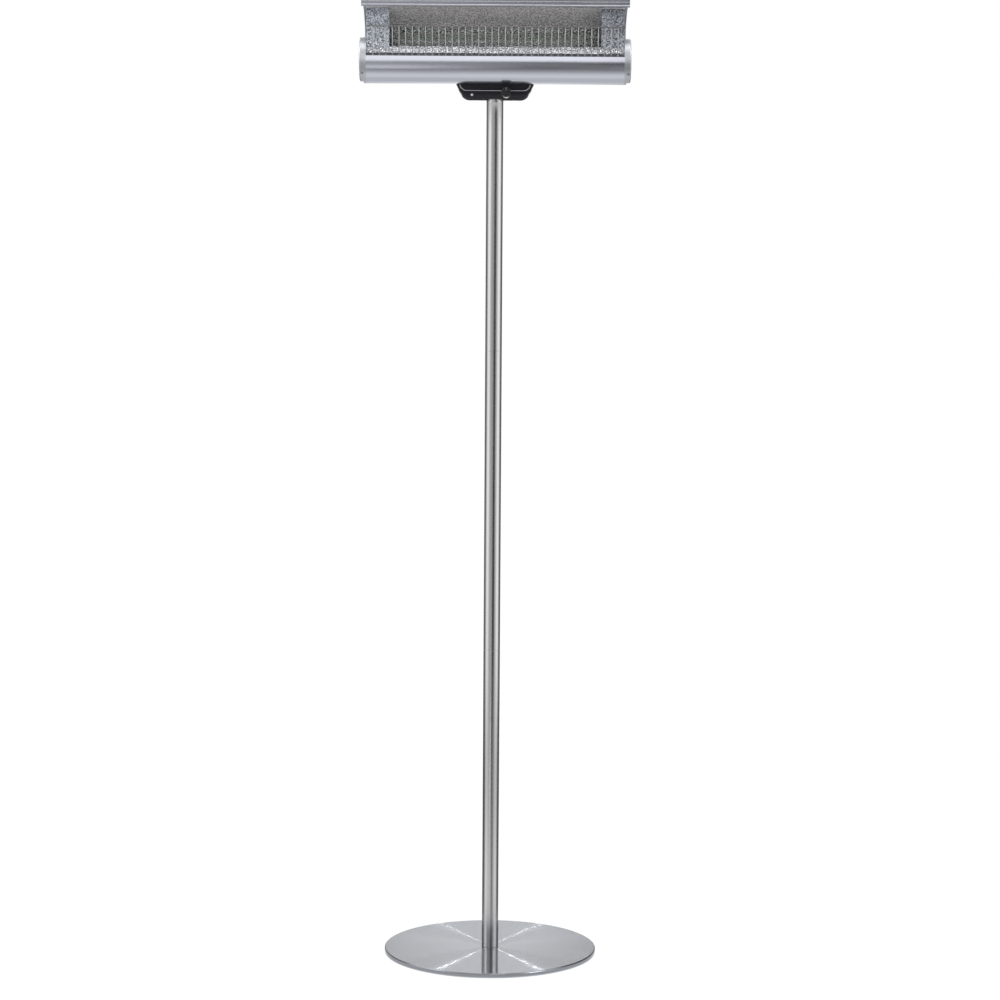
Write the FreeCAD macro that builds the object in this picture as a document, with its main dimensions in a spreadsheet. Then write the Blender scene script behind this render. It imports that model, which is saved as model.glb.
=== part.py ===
import FreeCAD, Part
import math
import os
import Sketcher

# Driving dimensions in millimetres and degrees
SIZES = {
    "base_diameter": 450.0,
    "base_height": 11.0,
    "cover_sheet": 1.5,
    "cover_edge_radius": 2.0,
    "rim_lift": 1.5,
    "weight_gap": 2.0,
    "foot_thickness": 2.0,
    "foot_radius": 15.0,
    "foot_ring_radius": 185.0,
    "base_bolt_radius": 4.95,
    "bolt_clearance": 0.1,
    "bolt_head_height": 3.0,
    "bolt_grip": 20.0,
    "bolt_recess_radius": 18.0,
    "bolt_recess_depth": 4.5,
    "washer_thickness": 1.5,
    "washer_radius": 15.0,
    "pole_diameter": 35.0,
    "pole_wall": 1.5,
    "pole_edge": 0.5,
    "lower_pole_length": 639.0,
    "middle_pole_length": 633.0,
    "plug_gap": 0.05,
    "plug_length": 32.0,
    "stud_radius": 7.95,
    "stud_length": 26.0,
    "stud_bevel": 1.0,
    "head_height": 1885.0,
    "head_forward": 35.0,
    "pole_top_drop": 52.0,
    "roll_radius": 49.0,
    "roll_front_edge": 3.0,
    "housing_wall": 2.4,
    "head_length": 532.0,
    "hood_back_y": 6.0,
    "hood_back_z": 48.0,
    "trough_radius": 40.0,
    "hood_space": 15.0,
    "hood_angle": 55.0,
    "hood_top_radius": 130.0,
    "trough_low_angle": 60.0,
    "trough_low_radius": 109.0,
    "flange_top": 17.0,
    "flange_lean": 5.0,
    "reflector_sheet": 0.8,
    "lip_depth": 8.5,
    "lip_overhang": 8.7,
    "lip_bottom": 102.0,
    "lip_brow": 6.2,
    "lip_tuck": 2.2,
    "lip_bead": 1.1,
    "cap_radius": 45.5,
    "cap_thickness": 14.0,
    "fin_thickness": 5.5,
    "cap_edge_radius": 3.0,
    "screw_boss_radius": 4.0,
    "boss_sink": 0.8,
    "low_boss_angle": -48.0,
    "back_boss_angle": 28.0,
    "crown_boss_angle": 8.0,
    "cap_screw_radius": 1.9,
    "cap_screw_length": 14.0,
    "cap_screw_head": 2.0,
    "guard_wire_radius": 1.0,
    "guard_rail_radius": 1.3,
    "guard_pitch": 13.6,
    "guard_margin": 14.4,
    "weld_sink": 0.4,
    "guard_bend_z": 64.3,
    "guard_bend_y": 62.5,
    "guard_bend_radius": 6.0,
    "guard_back_gap": 0.3,
    "guard_foot_y": 43.5,
    "guard_pin": 3.0,
    "quartz_radius": 7.5,
    "quartz_wall": 1.2,
    "lamp_inset": 44.0,
    "lamp_back": 16.0,
    "filament_radius": 1.3,
    "support_radius": 6.2,
    "support_thickness": 1.0,
    "support_pitch": 42.0,
    "support_margin": 33.0,
    "ceramic_radius": 11.0,
    "ceramic_length": 34.0,
    "ceramic_overlap": 8.0,
    "flange_radius": 13.0,
    "flange_width": 6.0,
    "clip_width": 12.0,
    "clip_sheet": 1.2,
    "clip_foot_angle": 16.0,
    "tilt_gap": 0.35,
    "cradle_width": 162.0,
    "cradle_taper_top": 48.0,
    "cradle_front": 6.0,
    "cradle_back": 64.0,
    "cradle_wrap": 72.0,
    "cradle_round": 9.0,
    "cradle_edge": 6.0,
    "seam_drop": 60.0,
    "seam_half_width": 75.0,
    "tub_lip": 1.0,
    "tub_bottom": 78.0,
    "tub_bottom_half": 63.4,
    "tub_corner": 20.0,
    "tub_round": 6.0,
    "tub_ridge": 1.6,
    "tub_wall": 2.5,
    "tub_cavity_half": 50.0,
    "socket_wall": 3.0,
    "socket_gap": 0.1,
    "socket_lift": 0.5,
    "pole_pass": 0.3,
    "pole_pin_radius": 2.5,
    "pole_pin_drop": 68.0,
    "pin_proud": 1.0,
    "tub_screw_x": 40.0,
    "tub_screw_inset": 8.0,
    "tub_screw_radius": 2.0,
    "tub_boss_radius": 4.8,
    "tub_screw_seat": 6.0,
    "tub_screw_head": 2.4,
    "thread_depth": 8.5,
    "thread_ease": 0.5,
    "clamp_angle": 65.0,
    "clamp_x": 50.0,
    "clamp_bolt_radius": 3.0,
    "clamp_plate_thickness": 3.8,
    "clamp_plate_spread": 15.0,
    "clamp_plate_margin": 14.0,
    "plate_gap": 0.3,
    "plate_spot": 0.6,
    "clamp_seat": 66.0,
    "clamp_recess_radius": 9.5,
    "clamp_head_height": 4.0,
    "nut_height": 5.0,
    "dome_height": 3.0,
    "thread_proud": 1.0,
    "tilt_up": 15.0,
    "tilt_down": 30.0,
    "slot_ease": 6.0,
    "slot_play": 0.4,
    "knob_x": 23.0,
    "knob_drop": 66.0,
    "knob_radius": 11.5,
    "knob_height": 12.5,
    "knob_gap": 0.5,
    "knob_skin": 3.0,
    "knob_taper": 1.2,
    "knob_edge": 1.6,
    "pointer_width": 1.6,
    "pointer_depth": 0.7,
    "shaft_radius": 3.0,
    "shaft_gap": 0.05,
    "switch_width": 20.0,
    "switch_height": 11.4,
    "switch_depth": 9.0,
    "switch_floor": 2.0,
    "shaft_end_gap": 0.5,
    "pilot_x": 48.0,
    "pilot_drop": 71.0,
    "pilot_radius": 3.5,
    "pilot_flange": 0.6,
    "pilot_crown": 1.6,
    "pilot_dome": 9.0,
    "pilot_depth": 3.5,
    "gland_x": 28.0,
    "gland_drop": 68.0,
    "gland_bore": 3.5,
    "gland_thread": 5.0,
    "gland_radius": 7.5,
    "gland_length": 20.0,
    "gland_tail": 2.5,
    "gland_collar": 4.0,
    "gland_step": 0.7,
    "gland_bevel": 1.0,
    "gland_taper": 5.0,
    "gland_nut_radius": 7.2,
    "gland_nut_height": 2.0,
    "terminal_x": 30.0,
    "terminal_y": 28.0,
    "terminal_width": 16.0,
    "terminal_depth": 18.0,
    "terminal_height": 11.0,
}

# Widths of fastener heads as a share of their thread, and the spare length of cutting tools
HEX_SHARE = 1.9
BOLT_HEAD_SHARE = 2.0
WASHER_SHARE = 2.6
SPOT_SHARE = 2.3
DOME_SHARE = 1.5
PAN_SHARE = 1.8
WELL_SHARE = 1.95
POINTER_START_SHARE = 0.25
CUT_SPARE = 1.0
PICK = 0.5

doc = FreeCAD.newDocument("patio_heater")
sheet = doc.addObject("Spreadsheet::Sheet", "Sizes")
for row, (name, number) in enumerate(SIZES.items(), start=1):
    sheet.set(f"A{row}", name)
    sheet.set(f"B{row}", str(number))
    sheet.setAlias(f"B{row}", name)
doc.recompute()


# A number kept together with the sheet expression that gives it
class Size:
    def __init__(self, value, text):
        self.value = float(value)
        self.text = text

    def join(self, other, sign, value):
        return Size(value, f"({self.text} {sign} {sized(other).text})")

    def __add__(self, other):
        return self.join(other, "+", self.value + sized(other).value)

    def __radd__(self, other):
        return sized(other) + self

    def __sub__(self, other):
        return self.join(other, "-", self.value - sized(other).value)

    def __rsub__(self, other):
        return sized(other) - self

    def __mul__(self, other):
        return self.join(other, "*", self.value * sized(other).value)

    def __rmul__(self, other):
        return sized(other) * self

    def __truediv__(self, other):
        return self.join(other, "/", self.value / sized(other).value)

    def __neg__(self):
        return Size(-self.value, f"(-1 * {self.text})")


def sized(item):
    if isinstance(item, Size):
        return item
    return Size(item, f"({float(item)!r})")


def cell(name):
    return Size(sheet.get(name), f"Sizes.{name}")


def sine(angle):
    return Size(math.sin(math.radians(angle.value)), f"sin({angle.text} * 1 deg)")


def cosine(angle):
    return Size(math.cos(math.radians(angle.value)), f"cos({angle.text} * 1 deg)")


def root(square):
    return Size(math.sqrt(square.value), f"sqrt({square.text})")


def whole(count):
    return Size(math.floor(count.value + 1e-6), f"floor({count.text} + 0.000001)")


# Bodies, sketches and features bound to the sheet
def new_body(label):
    body = doc.addObject("PartDesign::Body", label)
    body.Label = label
    body.AllowCompound = True
    return body


def origin_of(body, role):
    return next(item for item in body.Origin.OriginFeatures if item.Role == role)


def new_sketch(body, role, offset=0.0):
    sketch = body.newObject("Sketcher::SketchObject", f"{body.Name}_sketch")
    sketch.AttachmentSupport = (origin_of(body, role), "")
    sketch.MapMode = "FlatFace"
    sketch.setExpression("AttachmentOffset.Base.z", sized(offset).text)
    return sketch


def pin_point(sketch, edge, spot, x, y):
    for kind, goal in (("DistanceX", x), ("DistanceY", y)):
        index = sketch.addConstraint(Sketcher.Constraint(kind, -1, 1, edge, spot, goal.value))
        sketch.setExpression(f"Constraints[{index}]", goal.text)


def pin_radius(sketch, edge, radius):
    index = sketch.addConstraint(Sketcher.Constraint("Radius", edge, radius.value))
    sketch.setExpression(f"Constraints[{index}]", radius.text)


def arc_between(start, end, radius, turn):
    chord = end - start
    middle = (start + end) * 0.5
    rise = math.sqrt(max(radius * radius - chord.Length * chord.Length / 4.0, 0.0))
    side = FreeCAD.Vector(-chord.y, chord.x, 0.0).normalize()
    centre = middle + side * rise * turn
    first, last = (start, end) if turn > 0 else (end, start)
    angles = [math.atan2(point.y - centre.y, point.x - centre.x) for point in (first, last)]
    circle = Part.Circle(centre, FreeCAD.Vector(0, 0, 1), radius)
    return Part.ArcOfCircle(circle, angles[0], angles[1])


# A closed outline: a step is a corner, or a corner with the radius and turn of the arc that leads to it
def outline(sketch, steps, closed=True):
    corners = [(sized(step[0]), sized(step[1])) for step in steps]
    points = [FreeCAD.Vector(x.value, y.value, 0.0) for x, y in corners]
    spots = []
    total = len(steps) if closed else len(steps) - 1
    for index in range(total):
        after = (index + 1) % len(steps)
        bend = steps[after][2:]
        if bend:
            radius = sized(bend[0])
            shape = arc_between(points[index], points[after], radius.value, bend[1])
            edge = sketch.addGeometry(shape, False)
            pin_radius(sketch, edge, radius)
            spots.append((edge, 1, 2) if bend[1] > 0 else (edge, 2, 1))
        else:
            edge = sketch.addGeometry(Part.LineSegment(points[index], points[after]), False)
            spots.append((edge, 1, 2))
    for index, (edge, begin, finish) in enumerate(spots):
        pin_point(sketch, edge, begin, *corners[index])
        if closed or index + 1 < total:
            other = spots[(index + 1) % total]
            sketch.addConstraint(Sketcher.Constraint("Coincident", edge, finish, other[0], other[1]))
        else:
            pin_point(sketch, edge, finish, *corners[index + 1])
    return sketch


def ring_mark(sketch, x, y, radius):
    x, y, radius = sized(x), sized(y), sized(radius)
    centre = FreeCAD.Vector(x.value, y.value, 0.0)
    edge = sketch.addGeometry(Part.Circle(centre, FreeCAD.Vector(0, 0, 1), radius.value), False)
    pin_point(sketch, edge, 3, x, y)
    pin_radius(sketch, edge, radius)
    return sketch


def swept(body, kind, sketch, length, symmetric=False, reverse=False):
    feature = body.newObject(f"PartDesign::{kind}", f"{body.Name}_{kind}")
    feature.Profile = sketch
    feature.setExpression("Length", sized(length).text)
    feature.SideType = "Symmetric" if symmetric else "One side"
    feature.Reversed = reverse
    sketch.Visibility = False
    return feature


def bored(body, sketch, reverse=False):
    feature = body.newObject("PartDesign::Pocket", f"{body.Name}_bore")
    feature.Profile = sketch
    feature.Type = "ThroughAll"
    feature.Reversed = reverse
    sketch.Visibility = False
    return feature


# A turned piece: the outline holds (radius, height) pairs, or (height, radius) about X
def turned(label, axis, steps):
    body = new_body(label)
    sketch = new_sketch(body, {"Z": "XZ_Plane", "Y": "XY_Plane", "X": "XY_Plane"}[axis])
    outline(sketch, steps)
    feature = body.newObject("PartDesign::Revolution", f"{label}_turn")
    feature.Profile = sketch
    feature.ReferenceAxis = (origin_of(body, f"{axis}_Axis"), [""])
    feature.Angle = 360.0
    sketch.Visibility = False
    return body


def sleeve(label, inner, outer, low, high):
    return turned(label, "Z", [(inner, low), (outer, low), (outer, high), (inner, high)])


def extruded(label, steps, length):
    body = new_body(label)
    swept(body, "Pad", outline(new_sketch(body, "YZ_Plane"), steps), length, symmetric=True)
    return body


def round_edges(body, radius, wanted):
    doc.recompute()
    base = body.Tip
    names = [f"Edge{number}" for number, edge in enumerate(base.Shape.Edges, start=1) if wanted(edge)]
    feature = body.newObject("PartDesign::Fillet", f"{body.Name}_round")
    feature.Base = (base, names)
    feature.setExpression("Radius", sized(radius).text)
    return feature


def near(number, goal):
    return abs(number - goal.value) < 0.05


# Part primitives, placed in the row frame
def place(item, x, y, z):
    for letter, goal in zip("xyz", (x, y, z)):
        item.setExpression(f"Placement.Base.{letter}", sized(goal).text)
    return item


def rod(name, radius, height, spot, turn=None):
    item = doc.addObject("Part::Cylinder", name)
    item.setExpression("Radius", sized(radius).text)
    item.setExpression("Height", sized(height).text)
    if turn:
        item.Placement = FreeCAD.Placement(FreeCAD.Vector(), FreeCAD.Rotation(*turn))
    return place(item, *spot)


def block(name, sides, spot):
    item = doc.addObject("Part::Box", name)
    for side, goal in zip(("Length", "Width", "Height"), sides):
        item.setExpression(side, sized(goal).text)
    return place(item, *spot)


def hex_rod(name, radius, height, spot, turn=None):
    item = doc.addObject("Part::Prism", name)
    item.Polygon = 6
    item.setExpression("Circumradius", sized(radius).text)
    item.setExpression("Height", sized(height).text)
    if turn:
        item.Placement = FreeCAD.Placement(FreeCAD.Vector(), FreeCAD.Rotation(*turn))
    return place(item, *spot)


def joined(name, items):
    item = doc.addObject("Part::MultiFuse", name)
    item.Shapes = items
    item.Label = name
    return item


def grouped(name, items):
    item = doc.addObject("Part::Compound", name)
    item.Links = items
    item.Label = name
    return item


def carved(name, base, tools):
    item = doc.addObject("Part::Cut", name)
    item.Base = base
    item.Tool = tools[0] if len(tools) == 1 else joined(f"{name}_tools", tools)
    item.Label = name
    return item


nodes = {}


def keep(label, item):
    item.Label = label
    nodes[label] = item
    return item


X_AXIS = FreeCAD.Vector(1, 0, 0)
Y_AXIS = FreeCAD.Vector(0, 1, 0)
ALONG_X = (Y_AXIS, 90.0)
ALONG_Y = (X_AXIS, -90.0)

# Base: spun steel cover over a steel weight on rubber pads
base_radius = cell("base_diameter") / 2
base_top = cell("base_height")
cover_under = base_top - cell("cover_sheet")
weight_low = cell("foot_thickness")
bolt_hole = cell("base_bolt_radius") + cell("bolt_clearance")
recess_top = weight_low + cell("bolt_recess_depth")
edge = cell("cover_edge_radius")

keep("base_cover", turned("base_cover", "Z", [
    (bolt_hole, cover_under),
    (base_radius - cell("cover_sheet"), cover_under),
    (base_radius - cell("cover_sheet"), cell("rim_lift")),
    (base_radius, cell("rim_lift")),
    (base_radius, base_top - edge),
    (base_radius - edge, base_top, edge, 1),
    (bolt_hole, base_top),
]))

weight_radius = base_radius - cell("cover_sheet") - cell("weight_gap")
keep("base_weight", turned("base_weight", "Z", [
    (bolt_hole, recess_top),
    (cell("bolt_recess_radius"), recess_top),
    (cell("bolt_recess_radius"), weight_low),
    (weight_radius, weight_low),
    (weight_radius, cover_under),
    (bolt_hole, cover_under),
]))

FOOT_COUNT = 6
feet = []
for number in range(FOOT_COUNT):
    heading = math.radians(360.0 * (number + 0.5) / FOOT_COUNT)
    reach = cell("foot_ring_radius")
    spot = (reach * math.cos(heading), reach * math.sin(heading), 0.0)
    feet.append(rod(f"foot_{number}", cell("foot_radius"), cell("foot_thickness"), spot))
keep("base_feet", grouped("base_feet", feet))

washer_low = recess_top - cell("washer_thickness")
keep("base_washer", sleeve("base_washer", bolt_hole, cell("washer_radius"), washer_low, recess_top))
head_low = washer_low - cell("bolt_head_height")
bolt_head = hex_rod("base_bolt_head", cell("base_bolt_radius") * HEX_SHARE, cell("bolt_head_height"),
                    (0.0, 0.0, head_low))
bolt_shank = rod("base_bolt_shank", cell("base_bolt_radius"), base_top + cell("bolt_grip") - washer_low,
                 (0.0, 0.0, washer_low))
keep("base_bolt", joined("base_bolt", [bolt_head, bolt_shank]))

# Pole: three tubes screwed together through plugs
pole_radius = cell("pole_diameter") / 2
pole_bore = pole_radius - cell("pole_wall")
plug_radius = pole_bore - cell("plug_gap")
lower_joint = base_top + cell("lower_pole_length")
upper_joint = lower_joint + cell("middle_pole_length")
head_y = -cell("head_forward")
head_z = cell("head_height")
pole_top = head_z - cell("pole_top_drop")


def pole_tube(label, low, high):
    bevel = cell("pole_edge")
    return turned(label, "Z", [
        (pole_bore, low),
        (pole_radius - bevel, low),
        (pole_radius, low + bevel),
        (pole_radius, high - bevel),
        (pole_radius - bevel, high),
        (pole_bore, high),
    ])


def joint_stud(label, level):
    stud_top = level + cell("stud_length")
    return turned(label, "Z", [
        (0.0, level - cell("plug_length")),
        (plug_radius, level - cell("plug_length")),
        (plug_radius, level),
        (cell("stud_radius"), level),
        (cell("stud_radius"), stud_top - cell("stud_bevel")),
        (cell("stud_radius") - cell("stud_bevel"), stud_top),
        (0.0, stud_top),
    ])


def joint_socket(label, level, bore):
    return sleeve(label, bore, plug_radius, level, level + cell("plug_length"))


keep("lower_pole", pole_tube("lower_pole", base_top, lower_joint))
keep("middle_pole", pole_tube("middle_pole", lower_joint, upper_joint))
stud_bore = cell("stud_radius") + cell("bolt_clearance")
keep("foot_plug", joint_socket("foot_plug", base_top, bolt_hole))
keep("lower_stud", joint_stud("lower_stud", lower_joint))
keep("lower_socket", joint_socket("lower_socket", lower_joint, stud_bore))
keep("upper_stud", joint_stud("upper_stud", upper_joint))
keep("upper_socket", joint_socket("upper_socket", upper_joint, stud_bore))

pin_z = head_z - cell("pole_pin_drop")
pin_reach = pole_radius + cell("socket_gap") + cell("socket_wall") + cell("pin_proud")


def cross_pin(name):
    return rod(name, cell("pole_pin_radius"), pin_reach * 2, (-pin_reach, 0.0, pin_z), ALONG_X)


upper_tube = pole_tube("upper_pole_tube", upper_joint, pole_top)
keep("upper_pole", carved("upper_pole", upper_tube, [cross_pin("pole_pin_hole")]))
keep("pole_pin", cross_pin("pole_pin"))

# Cradle: black casting that carries the round housing and pins to the pole
cradle_bore = cell("roll_radius") + cell("tilt_gap")
cradle_half = cell("cradle_width") / 2
wrap_sine = sine(cell("cradle_wrap"))
wrap_cosine = cosine(cell("cradle_wrap"))
bore_start = root(cradle_bore * cradle_bore - cell("cradle_front") * cell("cradle_front"))
cradle_body = extruded("cradle_body", [
    (cell("cradle_front"), -cell("seam_drop")),
    (cell("cradle_back"), -cell("seam_drop")),
    (cell("cradle_back"), -(cradle_bore * wrap_cosine)),
    (cradle_bore * wrap_sine, -(cradle_bore * wrap_cosine)),
    (cell("cradle_front"), -bore_start, cradle_bore, -1),
], cell("cradle_width"))
taper = new_sketch(cradle_body, "XZ_Plane")
for side in (1.0, -1.0):
    outline(taper, [
        (side * cradle_half, -cell("cradle_taper_top")),
        (side * cell("seam_half_width"), -cell("seam_drop")),
        (side * cell("seam_half_width"), -cell("seam_drop") - CUT_SPARE),
        (side * (cradle_half + CUT_SPARE), -cell("seam_drop") - CUT_SPARE),
        (side * (cradle_half + CUT_SPARE), -cell("cradle_taper_top")),
    ])
bored(cradle_body, taper)


def back_edge(line):
    middle = line.CenterOfMass
    return near(middle.y, cell("cradle_back")) and middle.z > -cell("seam_drop").value + PICK


def front_side_edge(line):
    middle = line.CenterOfMass
    return near(middle.y, cell("cradle_front")) and abs(middle.x) > cell("seam_half_width").value


round_edges(cradle_body, cell("cradle_round"), back_edge)
round_edges(cradle_body, cell("cradle_edge"), front_side_edge)
socket_radius = pole_radius + cell("socket_gap")
socket_low = -cell("tub_bottom") + cell("tub_wall") + cell("socket_lift")
socket_wall = new_sketch(cradle_body, "XY_Plane", socket_low)
ring_mark(socket_wall, 0.0, cell("head_forward"), socket_radius + cell("socket_wall"))
swept(cradle_body, "Pad", socket_wall, -cell("seam_drop") - socket_low)
socket_hole = new_sketch(cradle_body, "XY_Plane", socket_low)
ring_mark(socket_hole, 0.0, cell("head_forward"), socket_radius)
swept(cradle_body, "Pocket", socket_hole, -cell("pole_top_drop") - socket_low, reverse=True)

tub_front = cell("cradle_front") - cell("tub_lip")
tub_back = cell("cradle_back") + cell("tub_lip")
screw_rows = (tub_front + cell("tub_screw_inset"), tub_back - cell("tub_screw_inset"))
screw_spots = [(side * cell("tub_screw_x"), y) for side in (1.0, -1.0) for y in screw_rows]
screw_bore = cell("tub_screw_radius") + cell("plug_gap")
thread_holes = new_sketch(cradle_body, "XY_Plane", -cell("seam_drop"))
for x, y in screw_spots:
    ring_mark(thread_holes, x, y, screw_bore)
swept(cradle_body, "Pocket", thread_holes, cell("thread_depth"), reverse=True)
place(cradle_body, 0.0, head_y, head_z)

# Clamp: bolts through curved slots of the housing, so the head turns about its own round axis
clamp_turn = (X_AXIS, -180.0 + cell("clamp_angle").value)
clamp_sine = sine(cell("clamp_angle"))
clamp_cosine = cosine(cell("clamp_angle"))
BOLT_SIDES = (("left", -1.0), ("right", 1.0))


def clamp_spot(side, reach):
    reach = sized(reach)
    return (side * cell("clamp_x"), head_y + reach * clamp_sine, head_z - reach * clamp_cosine)


def clamp_rods(name, radius, low, high):
    length = sized(high) - sized(low)
    return [rod(f"{name}_{word}", radius, length, clamp_spot(side, low), clamp_turn)
            for word, side in BOLT_SIDES]


clamp_bore = cell("clamp_bolt_radius") + cell("bolt_clearance")
recess_end = cell("clamp_seat") + cell("cradle_back")
nut_seat = cell("clamp_seat")
cradle_tools = clamp_rods("cradle_bolt_hole", clamp_bore, cradle_bore - CUT_SPARE, nut_seat + CUT_SPARE)
cradle_tools += clamp_rods("cradle_nut_recess", cell("clamp_recess_radius"), nut_seat, recess_end)
cradle_tools.append(cross_pin("cradle_pin_hole"))
keep("tilt_cradle", carved("tilt_cradle", cradle_body, cradle_tools))

plate_outer = cell("roll_radius") - cell("housing_wall") - cell("plate_gap")
plate_inner = plate_outer - cell("clamp_plate_thickness")


def polar(radius, angle):
    return (radius * sine(angle), -(radius * cosine(angle)))


plate_start = cell("clamp_angle") - cell("clamp_plate_spread")
plate_end = cell("clamp_angle") + cell("clamp_plate_spread")
plate_body = extruded("clamp_plate_body", [
    polar(plate_outer, plate_start),
    (*polar(plate_outer, plate_end), plate_outer, 1),
    polar(plate_inner, plate_end),
    (*polar(plate_inner, plate_start), plate_inner, -1),
], (cell("clamp_x") + cell("clamp_plate_margin")) * 2)
place(plate_body, 0.0, head_y, head_z)
bolt_seat = plate_inner + cell("plate_spot")
spot_radius = cell("clamp_bolt_radius") * SPOT_SHARE
plate_tools = clamp_rods("plate_hole", clamp_bore, plate_inner - CUT_SPARE, plate_outer + CUT_SPARE)
plate_tools += clamp_rods("plate_spot", spot_radius, plate_inner - cell("clamp_plate_thickness"), bolt_seat)
keep("clamp_plate", carved("clamp_plate", plate_body, plate_tools))

nut_low = nut_seat + cell("washer_thickness")
nut_high = nut_low + cell("nut_height")
thread_end = nut_high + cell("thread_proud")
head_radius = cell("clamp_bolt_radius") * BOLT_HEAD_SHARE
bolt_heads = clamp_rods("clamp_head", head_radius, bolt_seat - cell("clamp_head_height"), bolt_seat)
bolt_shanks = clamp_rods("clamp_shank", cell("clamp_bolt_radius"), bolt_seat, thread_end)
clamp_bolts = [joined(f"clamp_bolt_{word}", [head, shank])
               for (word, side), head, shank in zip(BOLT_SIDES, bolt_heads, bolt_shanks)]
keep("clamp_bolts", grouped("clamp_bolts", clamp_bolts))
disc_radius = cell("clamp_bolt_radius") * WASHER_SHARE
washer_discs = clamp_rods("clamp_washer_disc", disc_radius, nut_seat, nut_low)
washer_holes = clamp_rods("clamp_washer_hole", clamp_bore, nut_seat - CUT_SPARE, nut_low + CUT_SPARE)
clamp_washers = [carved(f"clamp_washer_{word}", disc, [hole])
                 for (word, side), disc, hole in zip(BOLT_SIDES, washer_discs, washer_holes)]
keep("clamp_washers", grouped("clamp_washers", clamp_washers))
dome_radius = cell("clamp_bolt_radius") * DOME_SHARE
nut_domes = clamp_rods("clamp_nut_dome", dome_radius, nut_low, nut_high + cell("dome_height"))
bore_end = thread_end + cell("thread_ease")
nut_bores = clamp_rods("clamp_nut_bore", cell("clamp_bolt_radius"), nut_low - CUT_SPARE, bore_end)
clamp_nuts = []
for (word, side), dome, hole in zip(BOLT_SIDES, nut_domes, nut_bores):
    flats = hex_rod(f"clamp_nut_hex_{word}", cell("clamp_bolt_radius") * HEX_SHARE, cell("nut_height"),
                    clamp_spot(side, nut_low), clamp_turn)
    solid = joined(f"clamp_nut_solid_{word}", [flats, dome])
    clamp_nuts.append(carved(f"clamp_nut_{word}", solid, [hole]))
keep("clamp_nuts", grouped("clamp_nuts", clamp_nuts))

# Control tub: black moulded pan under the cradle with knob, lamp and cable inlet
tub = new_body("control_tub")
tub_top_half = cell("seam_half_width") + cell("tub_lip")
tub_side = new_sketch(tub, "XZ_Plane", -tub_front)
outline(tub_side, [
    (-tub_top_half, -cell("seam_drop")),
    (-cell("tub_bottom_half"), -cell("tub_bottom")),
    (cell("tub_bottom_half"), -cell("tub_bottom")),
    (tub_top_half, -cell("seam_drop")),
])
swept(tub, "Pad", tub_side, tub_back - tub_front, reverse=True)


def keel_edge(line):
    middle = line.CenterOfMass
    return near(abs(middle.x), cell("tub_bottom_half")) and near(middle.z, -cell("tub_bottom"))


def rim_edge(line):
    middle = line.CenterOfMass
    flat = near(middle.y, tub_front) or near(middle.y, tub_back)
    return flat and middle.z < -cell("seam_drop").value - PICK


round_edges(tub, cell("tub_corner"), keel_edge)
round_edges(tub, cell("tub_round"), rim_edge)
ridge = new_sketch(tub, "YZ_Plane")
outline(ridge, [
    (tub_front - CUT_SPARE, -cell("seam_drop") + CUT_SPARE),
    (tub_front + cell("tub_ridge"), -cell("seam_drop") + CUT_SPARE),
    (tub_front + cell("tub_ridge"), -cell("seam_drop")),
    (tub_front, -cell("seam_drop") - cell("tub_ridge"), cell("tub_ridge"), 1),
    (tub_front - CUT_SPARE, -cell("seam_drop") - cell("tub_ridge")),
])
swept(tub, "Pocket", ridge, cell("cradle_width"), symmetric=True)
cavity = new_sketch(tub, "XY_Plane", -cell("seam_drop"))
cavity_half = cell("tub_cavity_half")
cavity_rows = (tub_front + cell("tub_wall"), tub_back - cell("tub_wall"))
outline(cavity, [
    (-cavity_half, cavity_rows[0]),
    (cavity_half, cavity_rows[0]),
    (cavity_half, cavity_rows[1]),
    (-cavity_half, cavity_rows[1]),
])
floor_z = -cell("tub_bottom") + cell("tub_wall")
swept(tub, "Pocket", cavity, -cell("seam_drop") - floor_z)
posts = new_sketch(tub, "XY_Plane", floor_z)
for x, y in screw_spots:
    ring_mark(posts, x, y, cell("tub_boss_radius"))
swept(tub, "Pad", posts, -cell("seam_drop") - floor_z)
floor_holes = new_sketch(tub, "XY_Plane", -cell("seam_drop"))
ring_mark(floor_holes, 0.0, cell("head_forward"), pole_radius + cell("pole_pass"))
for x, y in screw_spots:
    ring_mark(floor_holes, x, y, screw_bore)
bored(tub, floor_holes)
seats = new_sketch(tub, "XY_Plane", -cell("tub_bottom"))
for x, y in screw_spots:
    ring_mark(seats, x, y, cell("tub_screw_radius") * WELL_SHARE)
swept(tub, "Pocket", seats, cell("tub_screw_seat"), reverse=True)
front_holes = new_sketch(tub, "XZ_Plane", -tub_front + CUT_SPARE)
ring_mark(front_holes, cell("knob_x"), -cell("knob_drop"), cell("shaft_radius") + cell("shaft_gap"))
ring_mark(front_holes, -cell("pilot_x"), -cell("pilot_drop"), cell("pilot_radius") + cell("plug_gap"))
swept(tub, "Pocket", front_holes, cell("tub_wall") + CUT_SPARE * 2)
back_hole = new_sketch(tub, "XZ_Plane", -tub_back - CUT_SPARE)
ring_mark(back_hole, -cell("gland_x"), -cell("gland_drop"), cell("gland_thread") + cell("plug_gap"))
swept(tub, "Pocket", back_hole, cell("tub_wall") + CUT_SPARE * 2, reverse=True)
place(tub, 0.0, head_y, head_z)
keep("control_tub", tub)

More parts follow.
